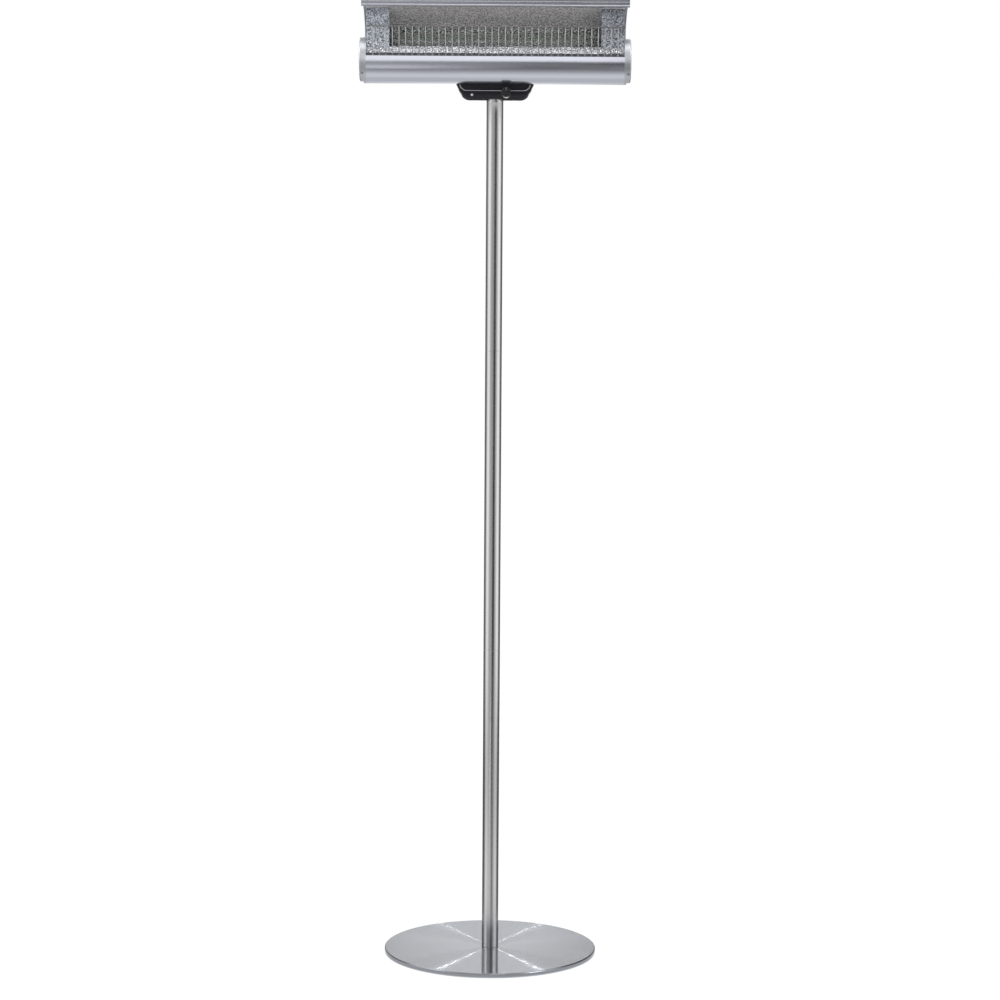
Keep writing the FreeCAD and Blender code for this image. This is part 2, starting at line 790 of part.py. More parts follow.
seat_z = head_z - cell("tub_bottom") + cell("tub_screw_seat")
pan_height = cell("tub_screw_head")
shank_top = -cell("seam_drop") + cell("thread_depth") - cell("thread_ease")
shank_length = head_z + shank_top - seat_z
tub_screws = []
for number, (x, y) in enumerate(screw_spots):
    spot_y = y + head_y
    top = rod(f"tub_screw_head_{number}", cell("tub_screw_radius") * PAN_SHARE, pan_height,
              (x, spot_y, seat_z - pan_height))
    shank = rod(f"tub_screw_shank_{number}", cell("tub_screw_radius"), shank_length, (x, spot_y, seat_z))
    tub_screws.append(joined(f"tub_screw_{number}", [top, shank]))
keep("tub_screws", grouped("tub_screws", tub_screws))

# Selector switch, its shaft and knob
knob_z = head_z - cell("knob_drop")
wall_y = head_y + tub_front + cell("tub_wall")
switch_case = block("switch_case", (cell("switch_width"), cell("switch_depth"), cell("switch_height")),
                    (cell("knob_x") - cell("switch_width") / 2, wall_y, knob_z - cell("switch_height") / 2))
shaft_end = cell("switch_depth") - cell("switch_floor")
shaft_bore = rod("switch_bore", cell("shaft_radius") + cell("shaft_gap"), shaft_end + cell("shaft_end_gap"),
                 (cell("knob_x"), wall_y, knob_z), ALONG_Y)
keep("rotary_switch", carved("rotary_switch", switch_case, [shaft_bore]))

knob_back = tub_front - cell("knob_gap")
knob_face = knob_back - cell("knob_height")
knob_rim = cell("knob_radius") - cell("knob_taper")
knob_floor = knob_face + cell("knob_skin")
knob = turned("selector_knob", "Y", [
    (0.0, knob_face),
    (knob_rim - cell("knob_edge"), knob_face),
    (knob_rim, knob_face + cell("knob_edge"), cell("knob_edge"), 1),
    (cell("knob_radius"), knob_back),
    (cell("shaft_radius"), knob_back),
    (cell("shaft_radius"), knob_floor),
    (0.0, knob_floor),
])
pointer = new_sketch(knob, "XZ_Plane", -knob_face + CUT_SPARE)
pointer_half = cell("pointer_width") / 2
pointer_start = cell("knob_radius") * POINTER_START_SHARE
outline(pointer, [
    (-pointer_half, pointer_start),
    (pointer_half, pointer_start),
    (pointer_half, cell("knob_radius")),
    (-pointer_half, cell("knob_radius")),
])
swept(knob, "Pocket", pointer, cell("pointer_depth") + CUT_SPARE)
keep("selector_knob", place(knob, cell("knob_x"), head_y, knob_z))
shaft_start = head_y + knob_floor
keep("switch_shaft", rod("switch_shaft", cell("shaft_radius"), wall_y + shaft_end - shaft_start,
                         (cell("knob_x"), shaft_start, knob_z), ALONG_Y))

pilot_rim = cell("pilot_radius") + cell("pilot_flange")
pilot = turned("pilot_lens", "Y", [
    (0.0, tub_front - cell("pilot_crown")),
    (pilot_rim, tub_front - cell("pilot_flange"), cell("pilot_dome"), 1),
    (pilot_rim, tub_front),
    (cell("pilot_radius"), tub_front),
    (cell("pilot_radius"), tub_front + cell("pilot_depth")),
    (0.0, tub_front + cell("pilot_depth")),
])
keep("pilot_lens", place(pilot, -cell("pilot_x"), head_y, head_z - cell("pilot_drop")))

gland_start = tub_back - cell("tub_wall") - cell("gland_tail")
gland_waist = cell("gland_radius") - cell("gland_step")
collar_end = tub_back + cell("gland_collar")
gland_end = gland_start + cell("gland_length")
gland = turned("cable_gland", "Y", [
    (cell("gland_bore"), gland_start),
    (cell("gland_thread"), gland_start),
    (cell("gland_thread"), tub_back),
    (cell("gland_radius"), tub_back),
    (cell("gland_radius"), collar_end),
    (gland_waist, collar_end + cell("gland_bevel")),
    (gland_waist, gland_end - cell("gland_taper")),
    (cell("gland_thread"), gland_end),
    (cell("gland_bore"), gland_end),
])
keep("cable_gland", place(gland, -cell("gland_x"), head_y, head_z - cell("gland_drop")))
inner_wall = tub_back - cell("tub_wall")
lock_nut = turned("gland_nut", "Y", [
    (cell("gland_thread"), inner_wall - cell("gland_nut_height")),
    (cell("gland_nut_radius"), inner_wall - cell("gland_nut_height")),
    (cell("gland_nut_radius"), inner_wall),
    (cell("gland_thread"), inner_wall),
])
keep("gland_nut", place(lock_nut, -cell("gland_x"), head_y, head_z - cell("gland_drop")))
terminal_sides = (cell("terminal_width"), cell("terminal_depth"), cell("terminal_height"))
keep("terminal_block", block("terminal_block", terminal_sides,
                             (cell("terminal_x"), head_y + cell("terminal_y"), head_z + floor_z)))

# Head outline: round lower housing, straight back, hood over a trough reflector
roll_radius = cell("roll_radius")
wall = cell("housing_wall")
trough = cell("trough_radius")
crown = cell("hood_top_radius")
space = cell("hood_space")
back_y = -cell("hood_back_y")
back_z = cell("hood_back_z")
hood_sine = sine(cell("hood_angle"))
hood_cosine = cosine(cell("hood_angle"))
crown_y = back_y + (trough - crown) * hood_cosine
crown_z = back_z + (trough - crown) * hood_sine
low_sine = sine(cell("trough_low_angle"))
low_cosine = cosine(cell("trough_low_angle"))
low_radius = cell("trough_low_radius")
low_y = back_y + (trough - low_radius) * low_cosine
low_z = back_z - (trough - low_radius) * low_sine


def roll_front(radius):
    edge_z = cell("roll_front_edge")
    return (-root(radius * radius - edge_z * edge_z), edge_z)


def hood_shoulder(offset):
    return (back_y + (trough + offset) * hood_cosine, back_z + (trough + offset) * hood_sine)


def trough_heel(offset):
    return (back_y + (trough + offset) * low_cosine, back_z - (trough + offset) * low_sine)


# Steps of the outer skin from the roll's front edge round the back to the lip
def skin_steps(offset, radius):
    return [
        roll_front(radius),
        (0.0, -radius, radius, 1),
        (radius, 0.0, radius, 1),
        (back_y + trough + offset, back_z),
        (*hood_shoulder(offset), trough + offset, 1),
        (crown_y, crown_z + crown + offset, crown + offset, 1),
    ]


# Steps of the trough from the lip down to its front foot
def trough_steps(offset):
    return [
        (crown_y, crown_z + crown + offset),
        (*hood_shoulder(offset), crown + offset, -1),
        (*trough_heel(offset), trough + offset, -1),
        (low_y, low_z - low_radius - offset, low_radius + offset, -1),
    ]


def turned_back(steps):
    flipped = []
    for index in range(len(steps) - 1, -1, -1):
        corner = steps[index][:2]
        bend = steps[index + 1][2:] if index + 1 < len(steps) else ()
        flipped.append((*corner, bend[0], -bend[1]) if bend else corner)
    return flipped


inner_skin = turned_back(skin_steps(space - wall, roll_radius - wall))
housing_body = extruded("housing_body", skin_steps(space, roll_radius) + inner_skin, cell("head_length"))
boss_inset = wall + cell("screw_boss_radius") - cell("boss_sink")
hood_reach = trough + space - boss_inset
crown_reach = crown + space - boss_inset
back_boss = cell("back_boss_angle")
crown_boss = cell("crown_boss_angle")
boss_spots = [
    polar(roll_radius - boss_inset, cell("low_boss_angle")),
    (back_y + hood_reach * cosine(back_boss), back_z + hood_reach * sine(back_boss)),
    (crown_y + crown_reach * sine(crown_boss), crown_z + crown_reach * cosine(crown_boss)),
]
bosses = new_sketch(housing_body, "YZ_Plane")
for y, z in boss_spots:
    ring_mark(bosses, y, z, cell("screw_boss_radius"))
swept(housing_body, "Pad", bosses, cell("head_length"), symmetric=True)
boss_holes = new_sketch(housing_body, "YZ_Plane")
for y, z in boss_spots:
    ring_mark(boss_holes, y, z, cell("cap_screw_radius") + cell("plug_gap"))
swept(housing_body, "Pocket", boss_holes, cell("head_length") + CUT_SPARE * 2, symmetric=True)
place(housing_body, 0.0, head_y, head_z)

slot_half = clamp_bore + cell("slot_play")
slot_start = cell("clamp_angle") - cell("tilt_down") - cell("slot_ease")
slot_sweep = cell("tilt_up") + cell("tilt_down") + cell("slot_ease") * 2
slots = []
for word, side in BOLT_SIDES:
    wedge = rod(f"tilt_slot_{word}", roll_radius + CUT_SPARE, slot_half * 2,
                (side * cell("clamp_x") - slot_half, head_y, head_z))
    wedge.setExpression("Angle", slot_sweep.text)
    spin = FreeCAD.Rotation(FreeCAD.Vector(0, 0, 1), slot_start.value)
    lie = FreeCAD.Rotation(FreeCAD.Vector(0, 0, -1), Y_AXIS, X_AXIS, "ZYX")
    wedge.Placement = FreeCAD.Placement(wedge.Placement.Base, lie.multiply(spin))
    slots.append(wedge)
keep("housing", carved("housing", housing_body, slots))

# Reflector: one sheet bent into the trough, with a leaning flange along its front foot
sheet_offset = cell("reflector_sheet")
flange_steps = [
    (low_y + cell("flange_lean"), cell("flange_top")),
    (low_y + cell("flange_lean") - sheet_offset, cell("flange_top")),
    (low_y - sheet_offset, low_z - low_radius - sheet_offset),
]
reflector_steps = trough_steps(0.0) + flange_steps + turned_back(trough_steps(sheet_offset))
keep("reflector", place(extruded("reflector", reflector_steps, cell("head_length")), 0.0, head_y, head_z))

# Lip bar: beaded front bar that closes the double hood
lip_back = crown_y
lip_front = crown_y - cell("lip_depth")
lip_top = crown_z + crown + space
lip_bead = cell("lip_bead")
lip_tuck = cell("lip_tuck")
brow_foot = lip_top - cell("lip_brow")
lip_groove = lip_front + lip_tuck
lip_steps = [
    (lip_back, cell("lip_bottom")),
    (lip_back, lip_top),
    (lip_front, lip_top),
    (lip_groove, brow_foot),
    (lip_groove - lip_bead, brow_foot - lip_bead, lip_bead, 1),
    (lip_groove, brow_foot - lip_bead * 2, lip_bead, 1),
    (lip_groove, cell("lip_bottom") + lip_tuck * 2),
    (lip_front, cell("lip_bottom") + lip_tuck, lip_tuck, 1),
    (lip_groove, cell("lip_bottom"), lip_tuck, 1),
]
lip_length = cell("head_length") + cell("lip_overhang") * 2
keep("lip_bar", place(extruded("lip_bar", lip_steps, lip_length), 0.0, head_y, head_z))

# End caps: round disc with a fin along the hood
half_length = cell("head_length") / 2
pin_radius_hole = cell("guard_rail_radius") + cell("plug_gap")
foot_wire_y = -cell("guard_foot_y")
foot_wire_z = 0.0


def end_cap(label, side):
    body = new_body(label)
    mirror = side < 0
    fin = new_sketch(body, "YZ_Plane", side * half_length)
    outline(fin, skin_steps(space, roll_radius) + trough_steps(0.0))
    swept(body, "Pad", fin, cell("fin_thickness"), reverse=mirror)
    disc = new_sketch(body, "YZ_Plane", side * half_length)
    ring_mark(disc, 0.0, 0.0, cell("cap_radius"))
    swept(body, "Pad", disc, cell("cap_thickness"), reverse=mirror)
    outer = side * (half_length + cell("cap_thickness"))
    round_edges(body, cell("cap_edge_radius"), lambda line: near(line.CenterOfMass.x, outer))
    holes = new_sketch(body, "YZ_Plane", outer + side * CUT_SPARE)
    for y, z in boss_spots:
        ring_mark(holes, y, z, cell("cap_screw_radius") + cell("bolt_clearance"))
    bored(body, holes, reverse=mirror)
    well = new_sketch(body, "YZ_Plane", outer)
    ring_mark(well, *boss_spots[0], cell("cap_screw_radius") * WELL_SHARE)
    swept(body, "Pocket", well, cell("cap_thickness") - cell("fin_thickness"), reverse=mirror)
    sockets = new_sketch(body, "YZ_Plane", side * half_length)
    ring_mark(sockets, foot_wire_y, foot_wire_z, pin_radius_hole)
    swept(body, "Pocket", sockets, cell("guard_pin"), reverse=not mirror)
    return place(body, 0.0, head_y, head_z)


keep("end_cap_left", end_cap("end_cap_left", -1.0))
keep("end_cap_right", end_cap("end_cap_right", 1.0))

pan_radius = cell("cap_screw_radius") * PAN_SHARE
cap_screws = []
for word, side in BOLT_SIDES:
    seat = half_length + cell("fin_thickness")
    for number, (y, z) in enumerate(boss_spots):
        spot_y, spot_z = y + head_y, z + head_z
        head_start = seat if side > 0 else -seat - cell("cap_screw_head")
        shank_start = seat - cell("cap_screw_length") if side > 0 else -seat
        name = f"cap_screw_{word}_{number}"
        top = rod(f"{name}_head", pan_radius, cell("cap_screw_head"), (head_start, spot_y, spot_z), ALONG_X)
        shank = rod(f"{name}_shank", cell("cap_screw_radius"), cell("cap_screw_length"),
                    (shank_start, spot_y, spot_z), ALONG_X)
        cap_screws.append(joined(name, [top, shank]))
keep("end_cap_screws", grouped("end_cap_screws", cap_screws))

# Wire guard: wires rise in front of the lamp, bend back over it and are welded to two long wires
guard = new_body("wire_guard")
guard_z = cell("guard_bend_z")
low_rise = guard_z - foot_wire_z
low_run = cell("guard_bend_y") - cell("guard_foot_y")
low_length = root(low_rise * low_rise + low_run * low_run)
bend_reach = cell("guard_bend_radius") * root((low_length + low_run) / (low_length - low_run))
bend_end_y = -cell("guard_bend_y") + bend_reach
bend_low_y = -cell("guard_bend_y") + bend_reach * low_run / low_length
bend_low_z = guard_z - bend_reach * low_rise / low_length
over_lamp = guard_z - back_z
wall_behind = back_y + root(trough * trough - over_lamp * over_lamp)
guard_back_y = wall_behind - cell("guard_wire_radius") - cell("guard_back_gap")
rail_z = guard_z - cell("guard_wire_radius") - cell("guard_rail_radius") + cell("weld_sink")
long_wire = new_sketch(guard, "YZ_Plane")
ring_mark(long_wire, bend_end_y, rail_z, cell("guard_rail_radius"))
swept(guard, "Pad", long_wire, cell("head_length"), symmetric=True)
foot_wire = new_sketch(guard, "YZ_Plane")
ring_mark(foot_wire, foot_wire_y, foot_wire_z, cell("guard_rail_radius"))
swept(guard, "Pad", foot_wire, cell("head_length") + cell("guard_pin") * 2, symmetric=True)

wire_gaps = whole((cell("head_length") - cell("guard_margin") * 2) / cell("guard_pitch"))
first_wire = wire_gaps * cell("guard_pitch") / 2
spine = new_sketch(guard, "YZ_Plane", -first_wire)
outline(spine, [
    (guard_back_y, guard_z),
    (bend_end_y, guard_z),
    (bend_low_y, bend_low_z, cell("guard_bend_radius"), 1),
    (foot_wire_y, foot_wire_z),
], closed=False)
section = new_sketch(guard, "XZ_Plane", -guard_back_y)
ring_mark(section, -first_wire, guard_z, cell("guard_wire_radius"))
doc.recompute()
upright = guard.newObject("PartDesign::AdditivePipe", "guard_upright")
upright.Profile = section
upright.Spine = (spine, [f"Edge{number}" for number in range(1, len(spine.Shape.Edges) + 1)])
row_of_wires = guard.newObject("PartDesign::LinearPattern", "guard_row")
row_of_wires.Originals = [upright]
row_of_wires.Direction = (origin_of(guard, "X_Axis"), [""])
row_of_wires.setExpression("Length", (first_wire * 2).text)
row_of_wires.setExpression("Occurrences", (wire_gaps + 1.0).text)
guard.Tip = row_of_wires
section.Visibility = False
spine.Visibility = False
keep("wire_guard", place(guard, 0.0, head_y, head_z))

# Lamp: quartz tube, filament with supports, ceramic ends and clips
lamp_y = head_y + back_y + cell("lamp_back")
lamp_z = head_z + back_z
quartz_half = half_length - cell("lamp_inset")
quartz = turned("quartz_tube", "X", [
    (-quartz_half, cell("quartz_radius") - cell("quartz_wall")),
    (quartz_half, cell("quartz_radius") - cell("quartz_wall")),
    (quartz_half, cell("quartz_radius")),
    (-quartz_half, cell("quartz_radius")),
])
keep("quartz_tube", place(quartz, 0.0, lamp_y, lamp_z))

filament = new_body("filament")
core = new_sketch(filament, "YZ_Plane")
ring_mark(core, 0.0, 0.0, cell("filament_radius"))
swept(filament, "Pad", core, quartz_half * 2, symmetric=True)
support_gaps = whole((quartz_half - cell("support_margin")) * 2 / cell("support_pitch"))
first_support = support_gaps * cell("support_pitch") / 2
support = new_sketch(filament, "YZ_Plane", -first_support)
ring_mark(support, 0.0, 0.0, cell("support_radius"))
support_disc = swept(filament, "Pad", support, cell("support_thickness"))
support_row = filament.newObject("PartDesign::LinearPattern", "support_row")
support_row.Originals = [support_disc]
support_row.Direction = (origin_of(filament, "X_Axis"), [""])
support_row.setExpression("Length", (first_support * 2).text)
support_row.setExpression("Occurrences", (support_gaps + 1.0).text)
filament.Tip = support_row
keep("filament", place(filament, 0.0, lamp_y, lamp_z))

ceramic_start = quartz_half - cell("ceramic_overlap")
ceramic_end = ceramic_start + cell("ceramic_length")
clip_end = ceramic_end - cell("flange_width")
clip_start = clip_end - cell("clip_width")


def ceramic_end_piece(label, side):
    return turned(label, "X", [
        (side * quartz_half, 0.0),
        (side * quartz_half, cell("quartz_radius") + cell("plug_gap")),
        (side * ceramic_start, cell("quartz_radius") + cell("plug_gap")),
        (side * ceramic_start, cell("ceramic_radius")),
        (side * clip_end, cell("ceramic_radius")),
        (side * clip_end, cell("flange_radius")),
        (side * ceramic_end, cell("flange_radius")),
        (side * ceramic_end, 0.0),
    ])


# A clip is a ring round the ceramic with a stem and a foot curved to the trough
def lamp_clip(label, side):
    body = new_body(label)
    start = side * clip_start
    mirror = side < 0
    inner = cell("ceramic_radius") + cell("plug_gap")
    outer = inner + cell("clip_sheet")
    band = new_sketch(body, "YZ_Plane", start)
    ring_mark(band, 0.0, 0.0, outer)
    ring_mark(band, 0.0, 0.0, inner)
    swept(body, "Pad", band, cell("clip_width"), reverse=mirror)
    stem = new_sketch(body, "YZ_Plane", start)
    half_sheet = cell("clip_sheet") / 2
    foot_radius = trough - cell("clip_sheet")
    foot_front = foot_radius - cell("lamp_back")
    outline(stem, [
        (inner + half_sheet, -half_sheet),
        (foot_front + half_sheet, -half_sheet),
        (foot_front + half_sheet, half_sheet),
        (inner + half_sheet, half_sheet),
    ])
    swept(body, "Pad", stem, cell("clip_width"), reverse=mirror)
    foot_cosine = cosine(cell("clip_foot_angle"))
    foot_sine = sine(cell("clip_foot_angle"))
    foot = new_sketch(body, "YZ_Plane", start)
    outline(foot, [
        (trough * foot_cosine - cell("lamp_back"), -(trough * foot_sine)),
        (trough * foot_cosine - cell("lamp_back"), trough * foot_sine, trough, 1),
        (foot_radius * foot_cosine - cell("lamp_back"), foot_radius * foot_sine),
        (foot_radius * foot_cosine - cell("lamp_back"), -(foot_radius * foot_sine), foot_radius, -1),
    ])
    swept(body, "Pad", foot, cell("clip_width"), reverse=mirror)
    return body


for word, side in BOLT_SIDES:
    keep(f"ceramic_{word}", place(ceramic_end_piece(f"ceramic_{word}", side), 0.0, lamp_y, lamp_z))
    keep(f"lamp_clip_{word}", place(lamp_clip(f"lamp_clip_{word}", side), 0.0, lamp_y, lamp_z))

# Check every object, then write one file for each sub-part
doc.recompute()
faults = []
for item in doc.Objects:
    if "Invalid" in item.State or "Error" in item.State:
        faults.append(f"{item.Label}: {item.State}")
for label, item in nodes.items():
    if item.Shape.isNull() or not item.Shape.isValid() or item.Shape.Volume <= 0.0:
        faults.append(f"{label}: bad shape")
if faults:
    raise RuntimeError("; ".join(faults))
os.makedirs("parts", exist_ok=True)
for label, item in nodes.items():
    item.Shape.exportStep(f"parts/{label}.step")
    box = item.Shape.BoundBox
    print(f"{label}: {len(item.Shape.Solids)} solids, {item.Shape.Volume / 1000:.1f} cm3, "
          f"x {box.XMin:.1f} {box.XMax:.1f} y {box.YMin:.1f} {box.YMax:.1f} z {box.ZMin:.1f} {box.ZMax:.1f}")
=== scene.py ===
import math

import bmesh
import bpy
from mathutils import Matrix, Vector


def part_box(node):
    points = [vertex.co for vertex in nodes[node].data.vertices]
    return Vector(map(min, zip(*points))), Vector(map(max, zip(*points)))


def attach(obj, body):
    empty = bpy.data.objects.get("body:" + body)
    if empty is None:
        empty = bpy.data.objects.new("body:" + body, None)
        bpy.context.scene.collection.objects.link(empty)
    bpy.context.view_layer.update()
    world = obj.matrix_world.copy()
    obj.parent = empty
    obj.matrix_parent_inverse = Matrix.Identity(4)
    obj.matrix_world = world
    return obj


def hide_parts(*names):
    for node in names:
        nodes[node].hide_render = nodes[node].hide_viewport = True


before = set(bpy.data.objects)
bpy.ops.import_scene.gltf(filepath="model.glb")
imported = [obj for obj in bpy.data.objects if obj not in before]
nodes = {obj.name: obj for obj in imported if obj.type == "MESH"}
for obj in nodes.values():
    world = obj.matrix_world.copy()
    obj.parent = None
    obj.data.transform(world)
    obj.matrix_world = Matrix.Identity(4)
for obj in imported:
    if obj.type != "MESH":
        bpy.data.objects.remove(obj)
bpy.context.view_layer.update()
mergeDistance = 1e-6
print("frame loaded:", len(nodes), "pieces")


# A node socket that takes part in Python expressions
class Shade:
    def __init__(self, tree, socket):
        self.tree = tree
        self.socket = socket

    def node(self, kind, settings, sockets, output=0):
        made = self.tree.nodes.new(kind)
        for name, value in settings.items():
            if name == "stops":
                fillRamp(made.color_ramp, value)
            else:
                setattr(made, name, value)
        for name, value in sockets.items():
            if isinstance(value, Shade):
                self.tree.links.new(value.socket, made.inputs[name])
            else:
                made.inputs[name].default_value = value
        return Shade(self.tree, made.outputs[output])

    def maths(self, operation, *terms):
        return self.node("ShaderNodeMath", {"operation": operation}, dict(enumerate(terms)))

    def __add__(self, other):
        return self.maths("ADD", self, other)

    def __sub__(self, other):
        return self.maths("SUBTRACT", self, other)

    def __rsub__(self, other):
        return self.maths("SUBTRACT", other, self)

    def __mul__(self, other):
        return self.maths("MULTIPLY", self, other)

    __radd__ = __add__
    __rmul__ = __mul__


def fillRamp(ramp, stops):
    while len(ramp.elements) < len(stops):
        ramp.elements.new(1.0)
    for element, (position, grey) in zip(ramp.elements, stops):
        element.position = position
        element.color = (grey, grey, grey, 1.0)


# One finish: a Principled shader whose constants sit on its own sockets
class Finish:
    def __init__(self, name, constants):
        self.material = bpy.data.materials.new(name)
        self.material.use_nodes = True
        self.tree = self.material.node_tree
        self.shader = self.tree.nodes["Principled BSDF"]
        for socket, value in constants.items():
            self.shader.inputs[socket].default_value = value
        coordinates = self.tree.nodes.new("ShaderNodeTexCoord")
        self.place = Shade(self.tree, coordinates.outputs["Object"])
        self.facing = Shade(self.tree, coordinates.outputs["Normal"])

    def feed(self, socket, value):
        self.tree.links.new(value.socket, self.shader.inputs[socket])

    def noise(self, scale, stretch=(1.0, 1.0, 1.0), detail=2.0):
        mapped = self.place.node("ShaderNodeMapping", {}, {"Vector": self.place, "Scale": stretch})
        sockets = {"Vector": mapped, "Scale": scale, "Detail": detail}
        return self.place.node("ShaderNodeTexNoise", {}, sockets)

    def ramp(self, value, stops):
        return value.node("ShaderNodeValToRGB", {"stops": stops}, {0: value})

    def blend(self, factor, first, second):
        return factor.node("ShaderNodeMix", {"data_type": "RGBA"}, {0: factor, 6: first, 7: second}, 2)

    def bump(self, height, strength, distance, **more):
        sockets = {"Height": height, "Strength": strength, "Distance": distance, **more}
        self.feed("Normal", height.node("ShaderNodeBump", {}, sockets))

    def axes(self):
        split = self.tree.nodes.new("ShaderNodeSeparateXYZ")
        self.tree.links.new(self.place.socket, split.inputs[0])
        return [Shade(self.tree, socket) for socket in split.outputs]


def tint(red, green, blue):
    return (red, green, blue, 1.0)


def middle(low, high):
    return (low + high) / 2


def addObject(name, data):
    made = bpy.data.objects.new(name, data)
    bpy.context.scene.collection.objects.link(made)
    return made


def dress(finish, *names):
    for name in names:
        slots = nodes[name].data.materials
        slots.clear()
        slots.append(finish.material)


# In every finish, smoothest is the least roughness, spread what its pattern adds, relief strength and depth
# Base cover: spun steel in fine turned grooves, which lean more towards the back than true circles would
spunSteel = {"light": tint(0.445, 0.465, 0.505), "dark": tint(0.38, 0.40, 0.44), "smoothest": 0.105,
             "spread": 0.03, "groovePitch": 0.0012, "grooveSlope": 0.21, "backLean": 1.4, "hazeScale": 7.0,
             "plainShare": 0.2, "grooveShare": 0.2, "hazeShare": 0.6}


def makeSpunSteel(values):
    finish = Finish("spunSteel", {"Metallic": 1.0, "Anisotropic": 1.0, "Anisotropic Rotation": 0.25})
    x, y = finish.axes()[:2]
    reach = x * x + y * y
    radius = reach.maths("SQRT", reach)
    wave = radius.maths("SINE", radius * (2.0 * math.pi / values["groovePitch"]))
    outside = radius.maths("MAXIMUM", radius, values["groovePitch"])
    tilt = wave.maths("DIVIDE", wave * values["grooveSlope"], outside)
    leanX = x * tilt * (y * values["backLean"] + 1.0)
    lean = tilt.node("ShaderNodeCombineXYZ", {}, {0: leanX, 1: y * tilt})
    turned = lean.node("ShaderNodeVectorMath", {"operation": "ADD"}, {0: finish.facing, 1: lean})
    finish.feed("Normal", turned.node("ShaderNodeVectorMath", {"operation": "NORMALIZE"}, {0: turned}))
    haze = finish.noise(values["hazeScale"])
    light = wave * values["grooveShare"] + haze * values["hazeShare"] + values["plainShare"]
    finish.feed("Base Color", finish.blend(light, values["dark"], values["light"]))
    finish.feed("Roughness", haze * values["spread"] + values["smoothest"])
    return finish


# Pole tubes: polished stainless with faint drawing lines along the tube
drawnSteel = {"light": tint(0.76, 0.76, 0.765), "dark": tint(0.64, 0.64, 0.65), "smoothest": 0.15,
              "lineSpread": 0.08, "hazeSpread": 0.05, "lineScale": 260.0, "lineStretch": (1.0, 1.0, 0.012),
              "hazeScale": 9.0, "hazeStretch": (1.0, 1.0, 0.25), "relief": (0.10, 0.0004)}

# Housing, caps and lip: satin anodised aluminium, with fine lines along the extruded pieces
satinAluminium = {"light": tint(0.73, 0.75, 0.84), "dark": tint(0.62, 0.64, 0.72), "smoothest": 0.16,
                  "lineSpread": 0.10, "hazeSpread": 0.06, "lineScale": 420.0,
                  "lineStretch": (0.01, 1.0, 1.0), "hazeScale": 11.0, "hazeStretch": (0.4, 1.0, 1.0),
                  "relief": (0.12, 0.0003)}
capSilver = {**satinAluminium, "light": tint(0.64, 0.66, 0.70), "dark": tint(0.55, 0.57, 0.60),
             "smoothest": 0.34, "lineScale": 900.0, "lineStretch": (1.0, 1.0, 1.0)}
lipSilver = {**satinAluminium, "light": tint(0.57, 0.58, 0.64), "dark": tint(0.48, 0.49, 0.54),
             "smoothest": 0.18}


def makeLinedMetal(name, values):
    finish = Finish(name, {"Metallic": 1.0})
    lines = finish.noise(values["lineScale"], values["lineStretch"], 3.0)
    haze = finish.noise(values["hazeScale"], values["hazeStretch"])
    finish.feed("Base Color", finish.blend((lines + haze) * 0.5, values["dark"], values["light"]))
    rough = lines * values["lineSpread"] + haze * values["hazeSpread"]
    finish.feed("Roughness", rough + values["smoothest"])
    finish.bump(lines, *values["relief"])
    return finish


# Reflector: hammered aluminium sheet, etched matt under the hood, with a painted shadow line along its foot
hammeredSheet = {"light": tint(1.0, 0.98, 0.99), "dark": tint(0.40, 0.38, 0.39), "smoothest": 0.11,
                 "spread": 0.12, "dimpleScale": 300.0, "dimpleBlur": 0.5, "relief": (0.9, 0.0014),
                 "speckScale": 330.0, "speckStops": [(0.40, 0.0), (0.58, 1.0)],
                 "hoodStart": 1.946, "hoodFull": 1.958, "hoodMetal": 0.20,
                 "troughShadeTone": tint(0.56, 0.575, 0.575), "troughShadeDark": tint(0.38, 0.39, 0.39),
                 "span": 0.54, "shadeAcross": [(0.0, 1.0), (1.0, 0.96)],
                 "shadowLineTop": 1.8945, "shadowLineBack": -0.068, "shadowLineTone": tint(0.10, 0.10, 0.11)}
# End covers and hem: the same sheet, with painted shade darkening the right cover and the hem's ends
stuccoSheet = {**hammeredSheet, "light": tint(0.86, 0.91, 1.0), "dark": tint(0.20, 0.22, 0.26),
               "dimpleScale": 560.0, "relief": (0.9, 0.0008), "speckScale": 520.0, "hoodMetal": 1.0,
               "troughShadeTone": tint(0.87, 0.92, 1.0), "troughShadeDark": tint(0.16, 0.18, 0.22),
               "shadeAcross": [(0.0, 0.93), (0.5, 0.9), (1.0, 0.66)]}
hemSheet = {**stuccoSheet, "light": tint(0.94, 0.96, 1.0), "dark": tint(0.48, 0.50, 0.55),
            "dimpleScale": 300.0, "relief": (0.9, 0.0026), "speckScale": 330.0,
            "troughShadeTone": tint(0.94, 0.96, 1.0), "troughShadeDark": tint(0.48, 0.50, 0.55),
            "shadeAcross": [(0.06, 0.63), (0.14, 0.97), (0.80, 0.92), (0.94, 0.63)]}


